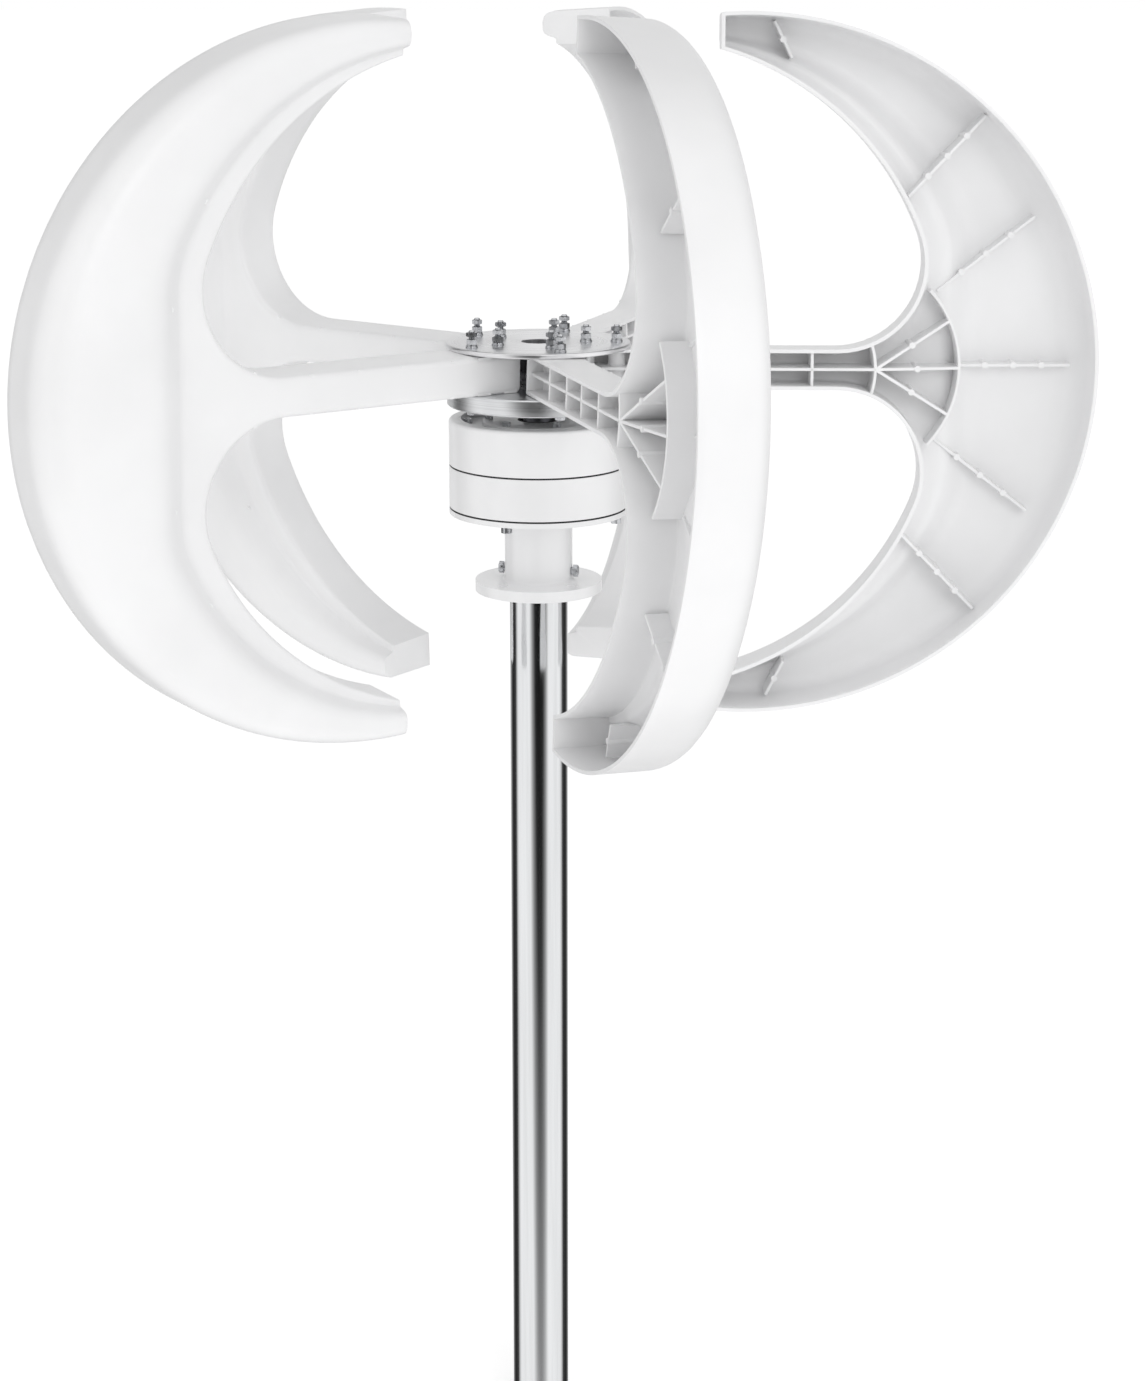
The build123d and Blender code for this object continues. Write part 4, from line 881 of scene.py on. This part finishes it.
def spring_washer(bm, outer, inner, low, high, split, turn):
    """Split washer that climbs a little from one end to the other."""
    thickness = 0.86 * (high - low)
    gap = split / outer
    sections = []
    for share in spread(0, 1, 41):
        angle = turn + gap / 2 + share * (math.tau - gap)
        rise = low + share * (high - low - thickness)
        corners = ((inner, rise), (outer, rise), (outer, rise + thickness), (inner, rise + thickness))
        sections.append([Vector((*polar((0, 0), r, angle), z)) for r, z in corners])
    rows = loft(bm, sections, closed=True)
    for row in (rows[0], rows[-1]):
        bmesh.ops.edgeloop_fill(bm, edges=row)
    return [v for row in rows for v in {v for e in row for v in e.verts}]


def threaded_bolt(bm, sizes, under, low, thread_from, high, across, turn):
    """Hexagon head under the disc, plain shank, threaded end with a chamfered tip."""
    flat = 0.475 * across
    radius, pitch = sizes.bolt_radius, sizes.thread_pitch
    rows = [circle_row(flat, under, turn=turn), hex_row(across, flat, under, 1, turn),
            hex_row(across, across / 2, low, 0, turn), circle_row(radius, low, turn=turn)]
    z = thread_from
    rows.append(circle_row(radius, z, turn=turn))
    while z + pitch < high - pitch / 2:
        rows.append(circle_row(0.86 * radius, z + pitch / 2, turn=turn))
        rows.append(circle_row(radius, z + pitch, turn=turn))
        z += pitch
    rows.append(circle_row(0.80 * radius, high, turn=turn))
    made = loft(bm, rows, closed=True)
    for row in (made[0], made[-1]):
        bmesh.ops.edgeloop_fill(bm, edges=row)
    return [v for row in made for v in {v for e in row for v in e.verts}]


class TURBINE_OT_hub_fasteners(bpy.types.Operator):
    """Bolts, washers and nuts that clamp the arms"""

    bl_idname = "turbine.hub_fasteners"
    bl_label = "Hub fasteners"

    def execute(self, context):
        s = context.scene.hub_sizes
        places = hub_bolt_places(s)
        bolt_low, bolt_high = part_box("hub_bolts")
        nut_low, nut_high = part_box("hub_nuts")
        lock_low, lock_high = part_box("hub_lock_nuts")
        flat_low, flat_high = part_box("hub_flat_washers")
        split_low, split_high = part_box("hub_spring_washers")
        turn = (0.2, 0.9, 0.5, 0.0, 0.7, 0.35, 0.1, 0.8, 0.6, 0.45)
        under_disc = DISC_LOW.z

        def bolts(bm, i):
            return threaded_bolt(
                bm, s, bolt_low.z, under_disc, PLATE_HIGH.z, bolt_high.z, s.nut_width, turn[i]
            )

        def nuts(bm, i):
            return hex_nut(bm, s.nut_width, s.bolt_radius + 5e-5, nut_low.z, nut_high.z, turn[-1 - i])

        def lock_nuts(bm, i):
            return hex_nut(bm, s.nut_width, s.bolt_radius + 5e-5, lock_low.z, lock_high.z, turn[i] + 0.3)

        def flats(bm, i):
            return washer(bm, 2 * s.bolt_radius, s.bolt_radius + 2e-4, flat_low.z, flat_high.z)

        def springs(bm, i):
            inner, outer = s.bolt_radius + 2e-4, 1.8 * s.bolt_radius
            return spring_washer(bm, outer, inner, split_low.z, split_high.z, s.split, 2.0 + turn[i])

        for node, maker in (("hub_bolts", bolts), ("hub_nuts", nuts), ("hub_flat_washers", flats),
                            ("hub_spring_washers", springs), ("hub_lock_nuts", lock_nuts)):
            bm = bmesh.new()
            turned_copies(bm, maker, places)
            bmesh.ops.recalc_face_normals(bm, faces=bm.faces)
            piece = new_object(f"arm_{node[4:]}", bm, 25.0)
            place_piece(piece, finish_of("zinc_fasteners"), "rotor", "zinc_fasteners", node)
        return {"FINISHED"}


class TURBINE_OT_hub(bpy.types.Operator):
    """Driven disc, top plate, sleeve, washer, nut and shaft"""

    bl_idname = "turbine.hub"
    bl_label = "Hub"

    def execute(self, context):
        s = context.scene.hub_sizes
        machined = (
            ("lower_disc", "driven_disc"), ("top_plate", "clamp_plate"), ("hub_washer", "shaft_washer"),
            ("hub_sleeve", "shaft_sleeve"), ("shaft", "turbine_shaft"),
        )
        for node, name in machined:
            refined(node, name, s.fine_edge, slot_of(node))
        low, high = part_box("hub_nut")
        bm = bmesh.new()
        hex_nut(bm, high.x - low.x, 0.01005, low.z, high.z, math.pi / 6)
        bmesh.ops.recalc_face_normals(bm, faces=bm.faces)
        nut = new_object("shaft_nut", bm, 25.0)
        place_piece(nut, finish_of("zinc_fasteners"), "rotor", "zinc_fasteners", "hub_nut")
        return {"FINISHED"}


class TURBINE_OT_generator(bpy.types.Operator):
    """Generator housings, covers and foot casting"""

    bl_idname = "turbine.generator"
    bl_label = "Generator"

    def execute(self, context):
        s = context.scene.hub_sizes
        parts = (
            ("base_casting", "foot_casting", s.edge), ("lower_housing", "housing_ring", s.edge),
            ("upper_housing", "housing_top", s.edge), ("top_cover", "recessed_cover", s.fine_edge),
            ("bearing_cover", "seal_cover", s.fine_edge), ("housing_bolts", "long_bolts", s.fine_edge),
            ("top_cover_screws", "cover_screws", s.fine_edge),
            ("bearing_cover_screws", "seal_cover_screws", s.fine_edge),
            ("mast_set_screws", "grub_screws", s.fine_edge),
        )
        for node, name, edge in parts:
            refined(node, name, edge, slot_of(node))
        return {"FINISHED"}


class TURBINE_OT_mast(bpy.types.Operator):
    """Polished tube with its foot end deburred"""

    bl_idname = "turbine.mast"
    bl_label = "Mast"

    def execute(self, context):
        low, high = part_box("mast_tube")
        flange_low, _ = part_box("base_casting")
        radius, edge = high.x, MAST_DEBURR
        bore, spigot = radius - MAST_WALL, radius - MAST_SPIGOT_STEP
        outline = [
            (bore, low.z + edge), (bore + edge, low.z), (radius - edge, low.z), (radius, low.z + edge),
            (radius, flange_low.z), (spigot, flange_low.z), (spigot, high.z), (bore, high.z),
        ]
        bm = bmesh.new()
        spun(bm, outline, 128)
        piece = new_object("mast", bm, 30.0)
        place_piece(piece, finish_of("polished_steel"), "stand", "polished_steel", "mast_tube")
        return {"FINISHED"}


# ---------------------------------------------------------------- kept nodes
class TURBINE_OT_kept_parts(bpy.types.Operator):
    """Finishes on the parts of the frame that are shown as they are"""

    bl_idname = "turbine.kept_parts"
    bl_label = "Kept parts"

    def execute(self, context):
        slots = {row["node"]: row["material_slot"] for row in frame["record"]["subparts"]}
        for name, obj in frame["nodes"].items():
            if obj.hide_render:
                continue
            obj.data.materials.clear()
            obj.data.materials.append(finish_of(slots[name]))
        return {"FINISHED"}


# ---------------------------------------------------------------- stage
class TURBINE_OT_stage(bpy.types.Operator):
    """Pale floor, soft lights and the camera"""

    bl_idname = "turbine.stage"
    bl_label = "Stage"

    def execute(self, context):
        bm = bmesh.new()
        bmesh.ops.create_grid(bm, x_segments=1, y_segments=1, size=60.0)
        bmesh.ops.translate(bm, verts=bm.verts, vec=(0, 0, CAD_BOX[0].z - 0.0005))
        floor = new_object("floor", bm)
        material, _, _, shader = node_material("pale_floor", (0.93, 0.93, 0.93), 0.9)
        shader.inputs["Specular IOR Level"].default_value = 0.0
        shader.inputs["Emission Color"].default_value = (1, 1, 1, 1)
        shader.inputs["Emission Strength"].default_value = 0.28
        floor.visible_glossy = False
        floor.data.materials.append(material)
        self.lights(context)
        self.camera(context)
        return {"FINISHED"}

    def lights(self, context):
        """White sky seen directly, a soft gradient on the finishes, dark flags in the polished metal."""
        world = bpy.data.worlds.new("studio")
        world.use_nodes = True
        nodes, links = world.node_tree.nodes, world.node_tree.links
        place = nodes.new("ShaderNodeTexCoord").outputs["Generated"]
        path = nodes.new("ShaderNodeLightPath")
        soft = self.band(nodes, links, place, (0.35, -0.50, 0.80), ((0.0, 0.55), (0.5, 0.72), (1.0, 0.90)))
        flags = self.band(nodes, links, place, (0.04, -1.0, 0.0), (
            (0.0, 0.9), (0.05, 0.7), (0.12, 0.15), (0.2, 0.02), (0.36, 0.05), (0.44, 0.7), (0.5, 1.0),
            (0.88, 1.0), (0.93, 0.35), (0.965, 0.02), (1.0, 0.0)))
        seen = self.choose(nodes, links, path.outputs["Is Glossy Ray"], soft, flags)
        colour = self.choose(nodes, links, path.outputs["Is Camera Ray"], seen, None)
        links.new(colour, nodes["Background"].inputs["Color"])
        context.scene.world = world
        context.scene.view_settings.view_transform = "Standard"
        self.area(context, "key", (1.2, -3.4, 2.2), 1.4, 20)

    def band(self, nodes, links, place, along, stops):
        """Brightness of the sky by how far a direction turns to one side."""
        dot = nodes.new("ShaderNodeVectorMath")
        dot.operation = "DOT_PRODUCT"
        dot.inputs[1].default_value = Vector(along).normalized()
        links.new(place, dot.inputs[0])
        span = nodes.new("ShaderNodeMapRange")
        span.inputs["From Min"].default_value = -1.0
        links.new(dot.outputs["Value"], span.inputs["Value"])
        ramp = nodes.new("ShaderNodeValToRGB")
        for place_on_ramp, level in stops[1:-1]:
            ramp.color_ramp.elements.new(place_on_ramp)
        for element, (place_on_ramp, level) in zip(ramp.color_ramp.elements, stops):
            element.position = place_on_ramp
            element.color = (level, level, level, 1)
        links.new(span.outputs["Result"], ramp.inputs["Fac"])
        return ramp.outputs["Color"]

    def choose(self, nodes, links, factor, otherwise, then):
        """One sky or the other by the kind of ray; None is plain white."""
        blend = nodes.new("ShaderNodeMixRGB")
        blend.inputs["Color2"].default_value = (1, 1, 1, 1)
        links.new(factor, blend.inputs["Fac"])
        links.new(otherwise, blend.inputs["Color1"])
        if then:
            links.new(then, blend.inputs["Color2"])
        return blend.outputs["Color"]

    def area(self, context, name, place, size, power):
        light = bpy.data.lights.new(name, "AREA")
        light.size = size
        light.energy = power
        lamp = bpy.data.objects.new(name, light)
        lamp.location = place
        aim = Vector((0, 0, HUB_HEIGHT)) - Vector(place)
        lamp.rotation_euler = aim.to_track_quat("-Z", "Y").to_euler()
        context.scene.collection.objects.link(lamp)

    def camera(self, context):
        data = bpy.data.cameras.new("camera")
        data.lens = CAMERA_LENS
        data.sensor_width = 36.0
        data.shift_y = CAMERA_SHIFT
        data.clip_end = 200.0
        camera = bpy.data.objects.new("camera", data)
        stand = Matrix.Translation((0, -CAMERA_DISTANCE, HUB_HEIGHT + CAMERA_HEIGHT))
        place = Matrix.Rotation(CAMERA_ROUND, 4, "Z") @ stand
        face = Matrix.Rotation(CAMERA_YAW, 4, "Z") @ Matrix.Rotation(math.pi / 2 - CAMERA_PITCH, 4, "X")
        camera.matrix_world = place @ face
        context.scene.collection.objects.link(camera)
        context.scene.camera = camera


class TURBINE_PT_panel(bpy.types.Panel):
    """Lists the pieces, sizes and colours"""

    bl_idname = "TURBINE_PT_panel"
    bl_label = "Turbine"
    bl_space_type = "VIEW_3D"
    bl_region_type = "UI"
    bl_category = "Turbine"

    def draw(self, context):
        layout = self.layout
        for operator in OPERATORS:
            layout.operator(operator.bl_idname)
        for group in (context.scene.blade_sizes, context.scene.hub_sizes, context.scene.turbine_colours):
            box = layout.box()
            for name in group.__annotations__:
                box.prop(group, name)


GROUPS = (BladeSizes, HubSizes, TurbineColours)
OPERATORS = (
    TURBINE_OT_mast, TURBINE_OT_generator, TURBINE_OT_hub, TURBINE_OT_hub_fasteners, TURBINE_OT_blades,
    TURBINE_OT_kept_parts, TURBINE_OT_stage,
)


def register():
    for cls in GROUPS + OPERATORS + (TURBINE_PT_panel,):
        bpy.utils.register_class(cls)
    bpy.types.Scene.blade_sizes = bpy.props.PointerProperty(type=BladeSizes)
    bpy.types.Scene.hub_sizes = bpy.props.PointerProperty(type=HubSizes)
    bpy.types.Scene.turbine_colours = bpy.props.PointerProperty(type=TurbineColours)


def unregister():
    del bpy.types.Scene.turbine_colours
    del bpy.types.Scene.hub_sizes
    del bpy.types.Scene.blade_sizes
    for cls in reversed(GROUPS + OPERATORS + (TURBINE_PT_panel,)):
        bpy.utils.unregister_class(cls)


def main():
    """Builds everything in order."""
    register()
    bpy.ops.turbine.mast()
    bpy.ops.turbine.generator()
    bpy.ops.turbine.hub()
    bpy.ops.turbine.hub_fasteners()
    bpy.ops.turbine.blades()
    bpy.ops.turbine.kept_parts()
    bpy.ops.turbine.stage()


if __name__ == "__main__":
    main()
